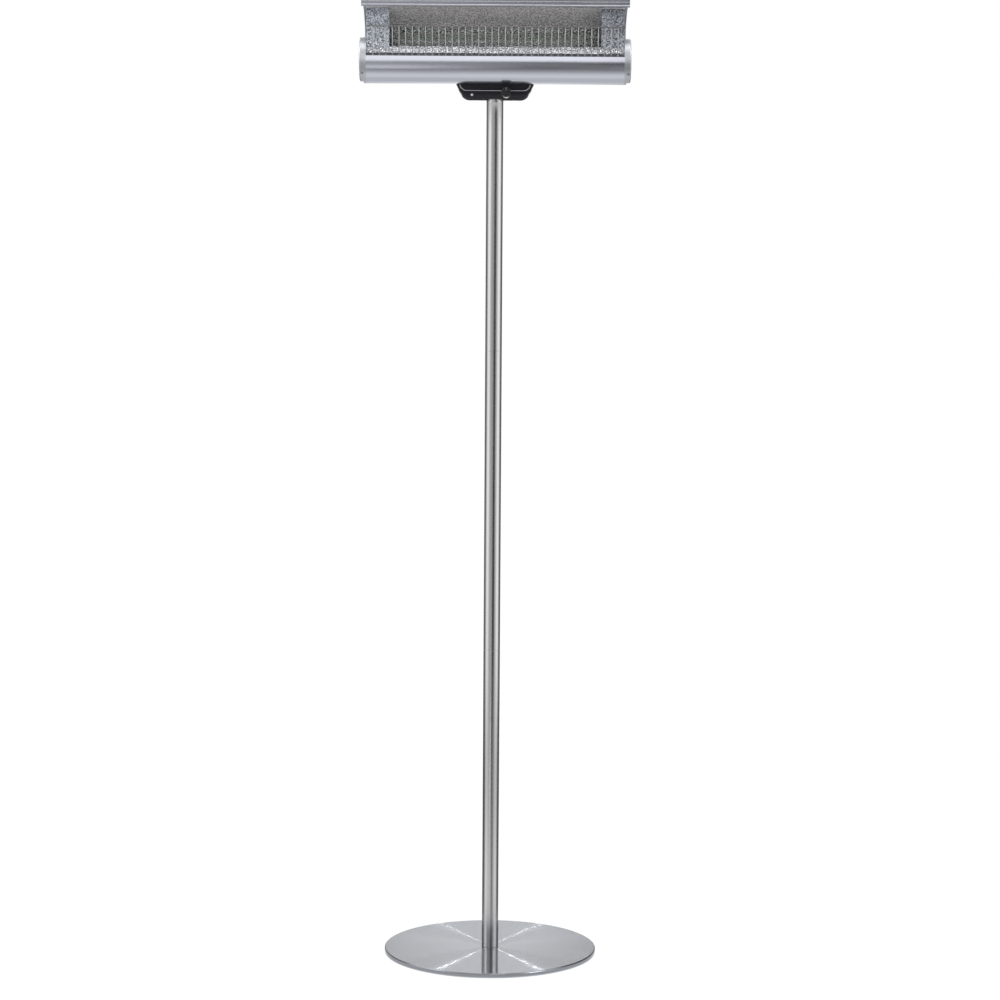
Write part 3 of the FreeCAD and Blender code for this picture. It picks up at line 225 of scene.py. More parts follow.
def makeHammeredSheet(name, values):
    finish = Finish(name, {})
    x, y, z = finish.axes()
    cells = {"Vector": finish.place, "Scale": values["dimpleScale"], "Smoothness": values["dimpleBlur"]}
    dimples = finish.place.node("ShaderNodeTexVoronoi", {"feature": "SMOOTH_F1"}, cells)
    specks = finish.noise(values["speckScale"], detail=1.0)
    rise = {"Value": z, "From Min": values["hoodStart"], "From Max": values["hoodFull"]}
    etched = z.node("ShaderNodeMapRange", {}, rise)
    # Painted shade: below the hood, the trough takes darker tones than the hood
    bright = finish.blend(etched, values["troughShadeTone"], values["light"])
    deep = finish.blend(etched, values["troughShadeDark"], values["dark"])
    colour = finish.blend(finish.ramp(specks, values["speckStops"]), deep, bright)
    # Painted shade: the sheet darkens by its place across the head, towards its ends and its right side
    across = finish.ramp(x * (1.0 / values["span"]) + 0.5, values["shadeAcross"])
    colour = finish.blend(across, tint(0.0, 0.0, 0.0), colour)
    # Painted shadow: a dark line along the foot, where the reflector meets the housing
    shadowLine = z.maths("LESS_THAN", z, values["shadowLineTop"]) * y.maths("LESS_THAN", y, values["shadowLineBack"])
    finish.feed("Base Color", finish.blend(shadowLine, colour, values["shadowLineTone"]))
    finish.feed("Roughness", specks * values["spread"] + values["smoothest"])
    finish.feed("Metallic", etched * (values["hoodMetal"] - 1.0) + 1.0)
    finish.bump(dimples, *values["relief"])
    return finish


# Guard: bright drawn wire, darker along its top
brightWire = {"light": tint(0.57, 0.57, 0.57), "dark": tint(0.42, 0.42, 0.42), "smoothest": 0.12,
              "spread": 0.12, "lineScale": 700.0, "lineStretch": (1.0, 1.0, 0.05), "relief": (0.08, 0.0002),
              "darkTop": tint(0.24, 0.24, 0.24), "darkTopFrom": 1.944}


def makeBrightWire(values):
    finish = Finish("brightWire", {"Metallic": 1.0})
    lines = finish.noise(values["lineScale"], values["lineStretch"])
    z = finish.axes()[2]
    drawn = finish.blend(lines, values["dark"], values["light"])
    darkened = z.maths("GREATER_THAN", z, values["darkTopFrom"])
    finish.feed("Base Color", finish.blend(darkened, drawn, values["darkTop"]))
    finish.feed("Roughness", lines * values["spread"] + values["smoothest"])
    finish.bump(lines, *values["relief"])
    return finish


# Bracket: black high-gloss enamel with a little orange peel, matt underneath
blackGloss = {"colour": tint(0.012, 0.012, 0.015), "worn": tint(0.025, 0.025, 0.030), "smoothest": 0.05,
              "spread": 0.08, "peelScale": 240.0, "relief": (0.04, 0.0004), "scuffScale": 60.0,
              "scuffStretch": (0.3, 1.0, 1.0), "edge": 0.0012, "underside": 0.010, "underRoughness": 0.85}


def makeBlackGloss(values, foot):
    finish = Finish("blackGloss", {"Specular IOR Level": 0.2})
    peel = finish.noise(values["peelScale"], detail=1.0)
    scuffs = finish.noise(values["scuffScale"], values["scuffStretch"], 4.0)
    finish.feed("Base Color", finish.blend(scuffs, values["colour"], values["worn"]))
    z = finish.axes()[2]
    fade = {"Value": z, "From Min": foot, "From Max": foot + values["underside"],
            "To Min": values["underRoughness"], "To Max": 0.0}
    under = z.node("ShaderNodeMapRange", {}, fade)
    finish.feed("Roughness", scuffs * values["spread"] + under + values["smoothest"])
    rounded = peel.node("ShaderNodeBevel", {"samples": 8}, {"Radius": values["edge"]})
    finish.bump(peel, *values["relief"], Normal=rounded)
    return finish


# Moulded plastics: knob with a pale pointer and a bright skirt, gland, switch
moulded = {"spread": 0.10, "grainScale": 1400.0, "relief": (0.06, 0.0002), "cloudScale": 45.0}
knobPlastic = {**moulded, "dark": tint(0.012, 0.012, 0.013), "light": tint(0.026, 0.026, 0.027),
               "smoothest": 0.17}
glandPlastic = {**moulded, "dark": tint(0.018, 0.018, 0.019), "light": tint(0.034, 0.034, 0.035),
                "smoothest": 0.43}
switchPlastic = {**moulded, "dark": tint(0.30, 0.29, 0.27), "light": tint(0.36, 0.35, 0.33),
                 "smoothest": 0.50}
knobTrim = {"halfWidth": 0.00079, "start": 0.002, "sunkFrom": 0.0002, "sunkTo": 0.0008, "skirt": 0.01034,
            "paint": tint(0.24, 0.24, 0.24), "plating": tint(0.62, 0.62, 0.63)}


def trimKnob(finish, colour, values, low, high):
    x, y, z = finish.axes()
    centre = middle(low, high)
    side = x - centre.x
    rise = z - centre.z
    across = side.maths("ABSOLUTE", side)
    line = across.maths("LESS_THAN", across, values["halfWidth"])
    line = line * rise.maths("GREATER_THAN", rise, values["start"])
    line = line * y.maths("GREATER_THAN", y, low.y + values["sunkFrom"])
    line = line * y.maths("LESS_THAN", y, low.y + values["sunkTo"])
    reach = side * side + rise * rise
    skirt = reach.maths("GREATER_THAN", reach, values["skirt"] ** 2)
    finish.feed("Metallic", skirt)
    return finish.blend(skirt, finish.blend(line, colour, values["paint"]), values["plating"])


def makeMoulded(name, values, trim=None):
    finish = Finish(name, {"Specular IOR Level": 0.45})
    grain = finish.noise(values["grainScale"])
    cloud = finish.noise(values["cloudScale"])
    colour = finish.blend(cloud, values["dark"], values["light"])
    if trim:
        colour = trimKnob(finish, colour, *trim)
    finish.feed("Base Color", colour)
    finish.feed("Roughness", cloud * values["spread"] + values["smoothest"])
    finish.bump(grain, *values["relief"])
    return finish


# Fasteners, ballast, pads, clips, lamp ends and filament: each a plain finish with a faint mottled bloom
mottled = {
    "zincPlate": {"light": tint(0.66, 0.67, 0.66), "dark": tint(0.50, 0.51, 0.52), "smoothest": 0.26,
                  "metallic": 1.0, "scale": 120.0, "relief": 0.05,
                  "pieces": ("base_washer", "base_bolt", "foot_plug", "lower_stud", "lower_socket",
                             "upper_stud", "upper_socket", "pole_pin", "clamp_plate", "clamp_bolts",
                             "clamp_washers", "clamp_nuts", "tub_screws", "end_cap_screws", "switch_shaft")},
    "castIron": {"light": tint(0.085, 0.085, 0.088), "dark": tint(0.045, 0.045, 0.048), "smoothest": 0.54,
                 "metallic": 0.0, "scale": 90.0, "relief": 0.4, "pieces": ("base_weight",)},
    "rubberPad": {"light": tint(0.040, 0.040, 0.041), "dark": tint(0.020, 0.020, 0.021), "smoothest": 0.70,
                  "metallic": 0.0, "scale": 300.0, "relief": 0.3, "pieces": ("base_feet",)},
    "springSteel": {"light": tint(0.58, 0.55, 0.50), "dark": tint(0.42, 0.40, 0.38), "smoothest": 0.22,
                    "metallic": 1.0, "scale": 80.0, "relief": 0.05,
                    "pieces": ("lamp_clip_left", "lamp_clip_right")},
    "glazedCeramic": {"light": tint(0.19, 0.19, 0.195), "dark": tint(0.11, 0.11, 0.115), "smoothest": 0.37,
                      "metallic": 0.0, "scale": 140.0, "relief": 0.15,
                      "pieces": ("ceramic_left", "ceramic_right")},
    "filamentMetal": {"light": tint(0.36, 0.33, 0.30), "dark": tint(0.20, 0.18, 0.17), "smoothest": 0.34,
                      "metallic": 1.0, "scale": 200.0, "relief": 0.05, "pieces": ("filament",)},
}
bloomSpread = 0.16
bloomDepth = 0.0004


def makeMottled(name, values):
    finish = Finish(name, {"Metallic": values["metallic"]})
    bloom = finish.noise(values["scale"], detail=4.0)
    finish.feed("Base Color", finish.blend(bloom, values["dark"], values["light"]))
    finish.feed("Roughness", bloom * bloomSpread + values["smoothest"])
    finish.bump(bloom, values["relief"], bloomDepth)
    return finish


# Lamp tube of quartz, and the pilot lens with its dark bezel
quartz = {"tint": tint(0.82, 0.85, 0.82), "ior": 1.46, "smoothest": 0.04, "spread": 0.06,
          "rippleScale": 55.0, "rippleStretch": (0.2, 1.0, 1.0), "relief": (0.03, 0.0005)}
lens = {"tint": tint(0.74, 0.76, 0.76), "shade": tint(0.50, 0.52, 0.52), "ior": 1.46, "smoothest": 0.10,
        "spread": 0.06, "facetScale": 900.0, "relief": (0.10, 0.0003),
        "core": 0.0024, "bezel": tint(0.020, 0.020, 0.021)}


def makeQuartz(values):
    constants = {"Base Color": values["tint"], "IOR": values["ior"], "Transmission Weight": 1.0}
    finish = Finish("quartzGlass", constants)
    ripple = finish.noise(values["rippleScale"], values["rippleStretch"])
    finish.feed("Roughness", ripple * values["spread"] + values["smoothest"])
    finish.bump(ripple, *values["relief"])
    return finish


def makeLens(values, low, high):
    finish = Finish("lampLens", {"IOR": values["ior"]})
    x, y, z = finish.axes()
    centre = middle(low, high)
    side = x - centre.x
    rise = z - centre.z
    reach = side * side + rise * rise
    rim = reach.maths("GREATER_THAN", reach, values["core"] ** 2)
    facets = finish.noise(values["facetScale"], detail=1.0)
    glow = finish.blend(facets, values["shade"], values["tint"])
    finish.feed("Base Color", finish.blend(rim, glow, values["bezel"]))
    finish.feed("Roughness", facets * values["spread"] + values["smoothest"])
    finish.bump(facets, *values["relief"])
    return finish


dress(makeSpunSteel(spunSteel), "base_cover")
dress(makeLinedMetal("drawnSteel", drawnSteel), "lower_pole", "middle_pole", "upper_pole")
dress(makeLinedMetal("satinAluminium", satinAluminium), "housing")
dress(makeLinedMetal("lipSilver", lipSilver), "lip_bar")
dress(makeLinedMetal("capSilver", capSilver), "end_cap_left", "end_cap_right")
dress(makeHammeredSheet("hammeredSheet", hammeredSheet), "reflector")
dress(makeBrightWire(brightWire), "wire_guard")
dress(makeBlackGloss(blackGloss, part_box("control_tub")[0].z), "tilt_cradle", "control_tub")
dress(makeMoulded("knobPlastic", knobPlastic, (knobTrim, *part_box("selector_knob"))), "selector_knob")
dress(makeMoulded("glandPlastic", glandPlastic), "cable_gland", "gland_nut")
dress(makeMoulded("switchPlastic", switchPlastic), "rotary_switch", "terminal_block")
mottledFinishes = {name: makeMottled(name, values) for name, values in mottled.items()}
for name, values in mottled.items():
    dress(mottledFinishes[name], *values["pieces"])
dress(makeQuartz(quartz), "quartz_tube")
dress(makeLens(lens, *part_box("pilot_lens")), "pilot_lens")
print("finishes made:", len(bpy.data.materials))


# Repeated pieces grow from node trees on a few seats, each seat with the way it faces
def startTree(name, inputs):
    tree = bpy.data.node_groups.new(name, "GeometryNodeTree")
    for label, kind in inputs.items():
        tree.interface.new_socket(label, in_out="INPUT", socket_type=kind)
    tree.interface.new_socket("Geometry", in_out="OUTPUT", socket_type="NodeSocketGeometry")
    given = tree.nodes.new("NodeGroupInput")
    return tree, {label: Shade(tree, given.outputs[label]) for label in inputs}


def endTree(tree, grown, material):
    real = grown.node("GeometryNodeRealizeInstances", {}, {"Geometry": grown})
    painted = real.node("GeometryNodeSetMaterial", {}, {"Geometry": real, "Material": material})
    result = tree.nodes.new("NodeGroupOutput")
    tree.links.new(painted.socket, result.inputs["Geometry"])
    return tree


def joinAll(*parts):
    joiner = parts[0].tree.nodes.new("GeometryNodeJoinGeometry")
    for part in parts:
        part.tree.links.new(part.socket, joiner.inputs["Geometry"])
    return Shade(parts[0].tree, joiner.outputs["Geometry"])


def seatAll(seats, shape):
    way = seats.node("GeometryNodeInputNamedAttribute", {"data_type": "FLOAT_VECTOR"}, {"Name": "way"})
    turn = seats.node("FunctionNodeAlignRotationToVector", {"axis": "Z"}, {"Vector": way})
    sockets = {"Points": seats, "Instance": shape, "Rotation": turn}
    return seats.node("GeometryNodeInstanceOnPoints", {}, sockets)


def upward(shape, height):
    return shape.node("ShaderNodeCombineXYZ", {}, {2: height})


def lift(shape, height):
    sockets = {"Geometry": shape, "Translation": upward(shape, height)}
    return shape.node("GeometryNodeTransform", {}, sockets)


def rod(seats, sides, radius, depth):
    sockets = {"Vertices": sides, "Radius": radius, "Depth": depth}
    return seats.node("GeometryNodeMeshCylinder", {}, sockets)


def ringCurve(seats, steps, radius):
    return seats.node("GeometryNodeCurvePrimitiveCircle", {}, {"Resolution": steps, "Radius": radius})


def wireAlong(curve, section, capped):
    sockets = {"Curve": curve, "Profile Curve": section, "Fill Caps": capped}
    return curve.node("GeometryNodeCurveToMesh", {}, sockets)


def grow(name, tree, inputs, seats, body, replaced):
    mesh = bpy.data.meshes.new(name)
    mesh.from_pydata([spot for spot, way in seats], [], [])
    ways = mesh.attributes.new("way", "FLOAT_VECTOR", "POINT")
    ways.data.foreach_set("vector", [number for spot, way in seats for number in way])
    made = addObject(name, mesh)
    modifier = made.modifiers.new("grown", "NODES")
    modifier.node_group = tree
    for item in tree.interface.items_tree:
        if item.in_out == "INPUT" and item.name in inputs:
            modifier[item.identifier] = inputs[item.name]
    shown = made.evaluated_get(bpy.context.evaluated_depsgraph_get())
    grownMesh = bpy.data.meshes.new_from_object(shown)
    made.modifiers.clear()
    made.data = grownMesh
    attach(made, body)
    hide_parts(replaced)
    print(name, "grown:", len(grownMesh.polygons), "faces")


# The separate solids of one CAD node, as pairs of corners
def islands(nodeName):
    shape = bmesh.new()
    shape.from_mesh(nodes[nodeName].data)
    bmesh.ops.remove_doubles(shape, verts=shape.verts, dist=mergeDistance)
    left = set(shape.verts)
    boxes = []
    while left:
        found = [left.pop()]
        for vertex in found:
            beside = {edge.other_vert(vertex) for edge in vertex.link_edges} & left
            left -= beside
            found += beside
        places = list(zip(*(vertex.co for vertex in found)))
        boxes.append([Vector([pick(axis) for axis in places]) for pick in (min, max)])
    shape.free()
    return boxes


# Pan-head screws with a cross recess; the seat is the middle of the head's outer face
panScrew = {"Radius": 0.0034, "Height": 0.0020, "Shank": 0.0018, "Length": 0.0155, "Cross": 0.0042,
            "Blade": 0.0010}
tubScrew = {**panScrew, "Radius": 0.0036, "Height": 0.0024, "Shank": 0.0019, "Length": 0.0195}
screwForm = {"headSides": 40, "shankSides": 24, "collarShare": 0.55, "crownShare": 0.74}


def makeScrewTree(values, form):
    floats = dict.fromkeys(values, "NodeSocketFloat")
    inputs = {"Geometry": "NodeSocketGeometry", **floats, "Material": "NodeSocketMaterial"}
    tree, given = startTree("panScrews", inputs)
    seats, radius, height = given["Geometry"], given["Radius"], given["Height"]
    foot = height * form["collarShare"]
    collar = rod(seats, form["headSides"], radius, foot)
    cone = {"Vertices": form["headSides"], "Radius Top": radius * form["crownShare"],
            "Radius Bottom": radius, "Depth": height - foot}
    crown = seats.node("GeometryNodeMeshCone", {}, cone)
    stacked = joinAll(lift(collar, foot * 0.5 - height), lift(crown, foot - height))
    union = {"operation": "UNION", "solver": "EXACT"}
    head = seats.node("GeometryNodeMeshBoolean", union, {"Mesh 2": stacked})
    bars = []
    for across, along in ((given["Cross"], given["Blade"]), (given["Blade"], given["Cross"])):
        size = seats.node("ShaderNodeCombineXYZ", {}, {0: across, 1: along, 2: height})
        bars.append(seats.node("GeometryNodeMeshCube", {}, {"Size": size}))
    cut = {"operation": "DIFFERENCE", "solver": "EXACT"}
    recessed = seats.node("GeometryNodeMeshBoolean", cut, {"Mesh 1": head, "Mesh 2": joinAll(*bars)})
    shank = rod(seats, form["shankSides"], given["Shank"], given["Length"])
    whole = joinAll(recessed, lift(shank, height * -1.0 - given["Length"] * 0.5))
    return endTree(tree, seatAll(seats, whole), given["Material"])


capSeats = []
for low, high in islands("end_cap_screws"):
    side = 1.0 if low.x > 0.0 else -1.0
    centre = middle(low, high)
    capSeats.append(((max(low.x * side, high.x * side) * side, centre.y, centre.z), (side, 0.0, 0.0)))
tubSeats = []
for low, high in islands("tub_screws"):
    centre = middle(low, high)
    tubSeats.append(((centre.x, centre.y, low.z), (0.0, 0.0, -1.0)))
screwTree = makeScrewTree(panScrew, screwForm)
plating = {"Material": mottledFinishes["zincPlate"].material}
grow("capScrews", screwTree, {**panScrew, **plating}, capSeats, "head", "end_cap_screws")
grow("tubScrews", screwTree, {**tubScrew, **plating}, tubSeats, "stand", "tub_screws")

# Filament: a close coil on ring supports, with straight tails into the ceramic ends
coil = {"Turns": 118.0, "Radius": 0.0016, "Wire": 0.00035, "Ring": 0.0058, "Rings": 10, "Pitch": 0.042,
        "Tail": 0.018}
coilForm = {"wireSides": 6, "turnSteps": 16, "ringSteps": 28, "tailSides": 12, "tailWires": 2.0}


def makeCoilTree(values, form):
    kinds = {label: "NodeSocketInt" if label == "Rings" else "NodeSocketFloat" for label in values}
    inputs = {"Geometry": "NodeSocketGeometry", **kinds, "Length": "NodeSocketFloat",
              "Material": "NodeSocketMaterial"}
    tree, given = startTree("coilWire", inputs)
    seats, length = given["Geometry"], given["Length"]
    section = ringCurve(seats, form["wireSides"], given["Wire"])
    wound = length - given["Tail"] * 2.0
    turns = {"Resolution": form["turnSteps"], "Rotations": given["Turns"], "Height": wound,
             "Start Radius": given["Radius"], "End Radius": given["Radius"]}
    winding = wireAlong(seats.node("GeometryNodeCurveSpiral", {}, turns), section, True)
    ring = wireAlong(ringCurve(seats, form["ringSteps"], given["Ring"]), section, False)
    firstRing = (given["Rings"] - 1.0) * given["Pitch"] * -0.5
    places = {"Count": given["Rings"], "Start Location": upward(seats, firstRing),
              "Offset": upward(seats, given["Pitch"])}
    row = seats.node("GeometryNodeMeshLine", {}, places)
    rings = seats.node("GeometryNodeInstanceOnPoints", {}, {"Points": row, "Instance": ring})
    tail = rod(seats, form["tailSides"], given["Wire"] * form["tailWires"], given["Tail"])
    tailPlace = (length - given["Tail"]) * 0.5
    whole = joinAll(lift(winding, wound * -0.5), rings, lift(tail, tailPlace), lift(tail, tailPlace * -1.0))
    return endTree(tree, seatAll(seats, whole), given["Material"])


low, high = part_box("filament")
coilInputs = {**coil, "Length": high.x - low.x, "Material": mottledFinishes["filamentMetal"].material}
coilSeats = [(middle(low, high), (1.0, 0.0, 0.0))]
grow("filamentCoil", makeCoilTree(coil, coilForm), coilInputs, coilSeats, "head", "filament")

# Sheets inside the head, forward and up from the tilt axis: covers over the trough's ends, and its hem
trough = {"axis": (-0.035, 1.885), "crown": (-0.05762, -0.02572, 0.130, 80.0, 55.0),
          "back": (-0.006, 0.048, 0.040, 55.0, -60.0), "low": (-0.0405, 0.10776, 0.109, -60.0, -86.0)}
endCovers = {"wallHalf": 0.2180, "sheet": 0.0008, "inset": 0.0006, "steps": 12, "hole": 0.0137,
             "wire": 0.0010, "wireHole": 0.0017, "probe": 0.0004, "probeDepth": 0.0040, "probeGap": 0.0006,
             "forward": -0.0352, "heights": (0.0165, 0.0380, 0.0600, 0.0800, 0.1017)}
hem = {"foot": (-0.0393, 0.0100), "top": (-0.0340, 0.0242), "bulge": 0.0012, "sheet": 0.0007, "steps": 6}


def arcPoints(centreY, centreZ, radius, start, end, steps):
    turns = [math.radians(start + (end - start) * step / steps) for step in range(steps + 1)]
    return [(centreY + radius * math.cos(turn), centreZ + radius * math.sin(turn)) for turn in turns]


def troughLine(values, inset, steps):
    line = []
    for name in ("crown", "back", "low"):
        centreY, centreZ, radius, start, end = values[name]
        line += arcPoints(centreY, centreZ, radius - inset, start, end, steps)[1:]
    return line


def lifted(line):
    return [(trough["axis"][0] + y, trough["axis"][1] + z) for y, z in line]


def addLoop(shape, places):
    corners = [shape.verts.new(place) for place in places]
    return [shape.edges.new((corner, corners[index - 1])) for index, corner in enumerate(corners)]


def addStrip(shape, line, first, second):
    ends = [[shape.verts.new((x, y, z)) for y, z in line] for x in (first, second)]
    for step in range(len(line) - 1):
        shape.faces.new((ends[0][step], ends[1][step], ends[1][step + 1], ends[0][step + 1]))


def finishSheet(name, shape, thickness, finish):
    bmesh.ops.remove_doubles(shape, verts=shape.verts, dist=mergeDistance)
    bmesh.ops.recalc_face_normals(shape, faces=shape.faces)
    bmesh.ops.solidify(shape, geom=shape.faces[:], thickness=thickness)
    mesh = bpy.data.meshes.new(name)
    shape.to_mesh(mesh)
    shape.free()
    mesh.materials.append(finish.material)
    made = addObject(name, mesh)
    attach(made, "head")
    print(name, "made:", len(mesh.polygons), "faces")


# Where the guard's wires cross the covers: rays cast down in steps along the head
def wireSpots(values, forward):
    low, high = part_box("wire_guard")
    probe, down = values["probe"], Vector((0.0, 0.0, -1.0))
    runs = []
    for step in range(round((high.x - low.x) / probe)):
        start = Vector((low.x + step * probe, forward, high.z + probe))
        hit = nodes["wire_guard"].ray_cast(start, down, distance=values["probeDepth"])
        found, place, normal, face = hit
        if found and runs and place.x - runs[-1][-1].x < values["probeGap"]:
            runs[-1].append(place)
        elif found:
            runs.append([place])
    return [((run[0].x + run[-1].x) / 2, max(place.z for place in run) - values["wire"]) for run in runs]


def makeEndCovers(values, finish):
    shape = bmesh.new()
    centre = middle(*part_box("ceramic_left"))
    holder = (centre.y, centre.z, values["hole"], 0.0, 360.0, values["steps"] * 2)
    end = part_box("reflector")[1].x - values["inset"]
    face = lifted([(values["forward"], height) for height in values["heights"]])
    forward = face[0][0]
    wires = wireSpots(values, forward)
    for side in (-1.0, 1.0):
        wallX = side * values["wallHalf"]
        wall = lifted(troughLine(trough, values["inset"], values["steps"])) + face
        edges = addLoop(shape, [(wallX, y, z) for y, z in wall])
        edges += addLoop(shape, [(wallX, y, z) for y, z in arcPoints(*holder)[1:]])
        bmesh.ops.triangle_fill(shape, use_beauty=True, edges=edges)
        rim = [(wallX, y, z) for y, z in face] + [(side * end, y, z) for y, z in face[::-1]]
        edges = addLoop(shape, rim)
        for x, z in wires:
            if values["wallHalf"] + values["wireHole"] < x * side < end - values["wireHole"]:
                around = arcPoints(x, z, values["wireHole"], 0.0, 360.0, values["steps"])[1:]
                edges += addLoop(shape, [(across, forward, up) for across, up in around])
        bmesh.ops.triangle_fill(shape, use_beauty=True, edges=edges)
    finishSheet("endCovers", shape, values["sheet"], finish)


def makeHem(values, finish):
    shape = bmesh.new()
    (footY, footZ), (topY, topZ) = values["foot"], values["top"]
    line = []
    for step in range(values["steps"] + 1):
        share = step / values["steps"]
        forward = values["bulge"] * math.sin(math.pi * share)
        line.append((footY + (topY - footY) * share - forward, footZ + (topZ - footZ) * share))
    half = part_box("reflector")[1].x
    addStrip(shape, lifted(line), -half, half)
    finishSheet("reflectorHem", shape, values["sheet"], finish)


makeEndCovers(endCovers, makeHammeredSheet("stuccoSheet", stuccoSheet))
makeHem(hem, makeHammeredSheet("hemSheet", hemSheet))

# Trim bead: polished wire laid along the bracket's seam and up its shoulders, found on the front by rays
trimBead = {"light": tint(0.62, 0.62, 0.63), "dark": tint(0.48, 0.48, 0.49), "smoothest": 0.08,
            "metallic": 1.0, "scale": 160.0, "relief": 0.03, "wire": 0.0008, "wireSteps": 3, "steps": 8,
            "rayFrom": -0.5, "under": ("tilt_cradle", "control_tub"),
            "path": [(-0.0735, 1.8350, 1.5), (-0.0705, 1.8285, 1.5), (-0.0640, 1.8235, 1.4),
                     (-0.0570, 1.8229, 1.0)]}  # across, up, times the wire's radius


def frontOf(x, z, values):
    start, inward = Vector((x, values["rayFrom"], z)), Vector((0.0, 1.0, 0.0))
    hits = [nodes[name].ray_cast(start, inward) for name in values["under"]]
    return min(place.y for found, place, normal, face in hits if found)


def makeTrimBead(values, finish):
    half = [Vector(place) for place in values["path"]]
    knots = half + [Vector((-x, z, wire)) for x, z, wire in reversed(half)]
    path = []
    for first, second in zip(knots, knots[1:]):
        path += [first.lerp(second, step / values["steps"]) for step in range(values["steps"])]
    curve = bpy.data.curves.new("trimBead", "CURVE")
    curve.dimensions = "3D"
    curve.bevel_depth = values["wire"]
    curve.bevel_resolution = values["wireSteps"]
    curve.use_fill_caps = True
    spline = curve.splines.new("POLY")
    spline.points.add(len(path))
    for point, (x, z, wire) in zip(spline.points, path + knots[-1:]):
        point.co = (x, frontOf(x, z, values), z, 1.0)
        point.radius = wire
    drawn = addObject("trimCurve", curve)
    shown = drawn.evaluated_get(bpy.context.evaluated_depsgraph_get())
    mesh = bpy.data.meshes.new_from_object(shown)
    bpy.data.objects.remove(drawn)
    mesh.materials.clear()
    mesh.materials.append(finish.material)
    made = addObject("trimBead", mesh)
    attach(made, "stand")
    print("trimBead made:", len(mesh.polygons), "faces")


makeTrimBead(trimBead, makeMottled("polishedTrim", trimBead))

# Studio: white all round for eye and metal alike, with grey and black screens that only metal sees
studio = {"fill": 0.85, "floorSize": 16.0, "floorGlow": 0.92, "glowStrength": 1.03, "floorRoughness": 0.9,
          "floorTone": tint(0.95, 0.95, 0.95)}


def showsBackground(tree):
    rays = tree.nodes.new("ShaderNodeLightPath")
    names = ("Is Camera Ray", "Is Glossy Ray", "Is Transmission Ray")
    eye, metal, glass = [Shade(tree, rays.outputs[name]) for name in names]
    return eye.maths("MAXIMUM", eye.maths("MAXIMUM", eye, metal), glass)


def makeWorld(values):
    world = bpy.data.worlds.new("whiteStudio")
    bpy.context.scene.world = world
    world.use_nodes = True
    tree = world.node_tree
    seen = showsBackground(tree)
    background = tree.nodes["Background"]
    background.inputs["Color"].default_value = tint(1.0, 1.0, 1.0)
    strength = seen * (1.0 - values["fill"]) + values["fill"]
    tree.links.new(strength.socket, background.inputs["Strength"])


def flatMesh(name, corners, faces, material):
    mesh = bpy.data.meshes.new(name)
    mesh.from_pydata(corners, [], faces)
    mesh.materials.append(material)
    made = addObject(name, mesh)
    return made


def makeFloor(values):
    material = bpy.data.materials.new("paleFloor")
    material.use_nodes = True
    tree = material.node_tree
    shader = tree.nodes["Principled BSDF"]
    shader.inputs["Base Color"].default_value = values["floorTone"]
    shader.inputs["Roughness"].default_value = values["floorRoughness"]
    shader.inputs["Specular IOR Level"].default_value = 0.0
    seen = showsBackground(tree)
    glow = tree.nodes.new("ShaderNodeEmission")
    glow.inputs["Strength"].default_value = values["glowStrength"]
    mixer = tree.nodes.new("ShaderNodeMixShader")
    tree.links.new((seen * values["floorGlow"]).socket, mixer.inputs[0])
    tree.links.new(shader.outputs[0], mixer.inputs[1])
    tree.links.new(glow.outputs[0], mixer.inputs[2])
    tree.links.new(mixer.outputs[0], tree.nodes["Material Output"].inputs["Surface"])
    half = values["floorSize"] / 2
    corners = [(-half, -half, 0), (half, -half, 0), (half, half, 0), (-half, half, 0)]
    flatMesh("floor", corners, [(0, 1, 2, 3)], material)


# A ring of studio wall and floor about the heater: tones by angle from the camera, right is plus
toneRing = {
    "step": 1.5, "wallReach": 3.2, "floorHeight": 0.003, "wallFoot": 0.004, "top": 2.6,
    "floorRows": [(0.226, 0.65, 0.0), (0.27, 0.33, 0.5), (0.36, 0.05, 1.3), (0.6, 0.0, 1.5),
                  (1.1, 0.0, 1.4), (1.9, 0.0, 1.0), (3.2, 0.0, 1.0)],  # reach, own tone, share of the floor's
    "wall": [(-180, 1.0), (-176, 1.0), (-168, 0.38), (-159, 0.18), (-110, 0.15), (-97, 0.5), (-86, 1.0),
             (-62, 1.1), (-50, 0.75), (-36, 0.46), (-8, 0.38), (-1, 0.34), (3, 0.04), (25, 0.02), (31, 0.30),
             (40, 0.52), (54, 0.75), (64, 1.1), (90, 1.1), (100, 0.45), (110, 0.18), (159, 0.08),
             (168, 0.22), (176, 1.0), (180, 1.0)],
    "floor": [(-180, 0.75), (-163, 0.7), (-150, 0.10), (-104, 0.07), (-90, 0.25), (-78, 0.60), (-60, 0.60),
              (-36, 0.46), (-8, 0.44), (6, 0.30), (10, 0.15), (22, 0.15), (40, 0.42), (62, 0.58), (80, 0.56),
              (92, 0.25), (104, 0.07), (150, 0.10), (163, 0.7), (180, 0.75)],
}


def toneAt(stops, angle):
    for (low, first), (high, second) in zip(stops, stops[1:]):
        if angle <= high:
            return first + (second - first) * (angle - low) / (high - low)
    return stops[-1][1]


def glowMaterial(name):
    material = bpy.data.materials.new(name)
    material.use_nodes = True
    tree = material.node_tree
    tree.nodes.remove(tree.nodes["Principled BSDF"])
    glow = tree.nodes.new("ShaderNodeEmission")
    stored = tree.nodes.new("ShaderNodeAttribute")
    stored.attribute_name = "tone"
    tree.links.new(stored.outputs["Fac"], glow.inputs["Strength"])
    tree.links.new(glow.outputs[0], tree.nodes["Material Output"].inputs["Surface"])
    return material


def toneMesh(name, columns, tones):
    across = len(columns[0])
    corners = [corner for column in columns for corner in column]
    faces = []
    for step in range(len(columns) - 1):
        for row in range(across - 1):
            first = step * across + row
            faces.append((first, first + 1, first + across + 1, first + across))
    made = flatMesh(name, corners, faces, glowMaterial(name))
    made.data.attributes.new("tone", "FLOAT", "POINT").data.foreach_set("value", tones)
    made.visible_camera = False
    made.visible_diffuse = False
    made.visible_shadow = False
    made.visible_transmission = False


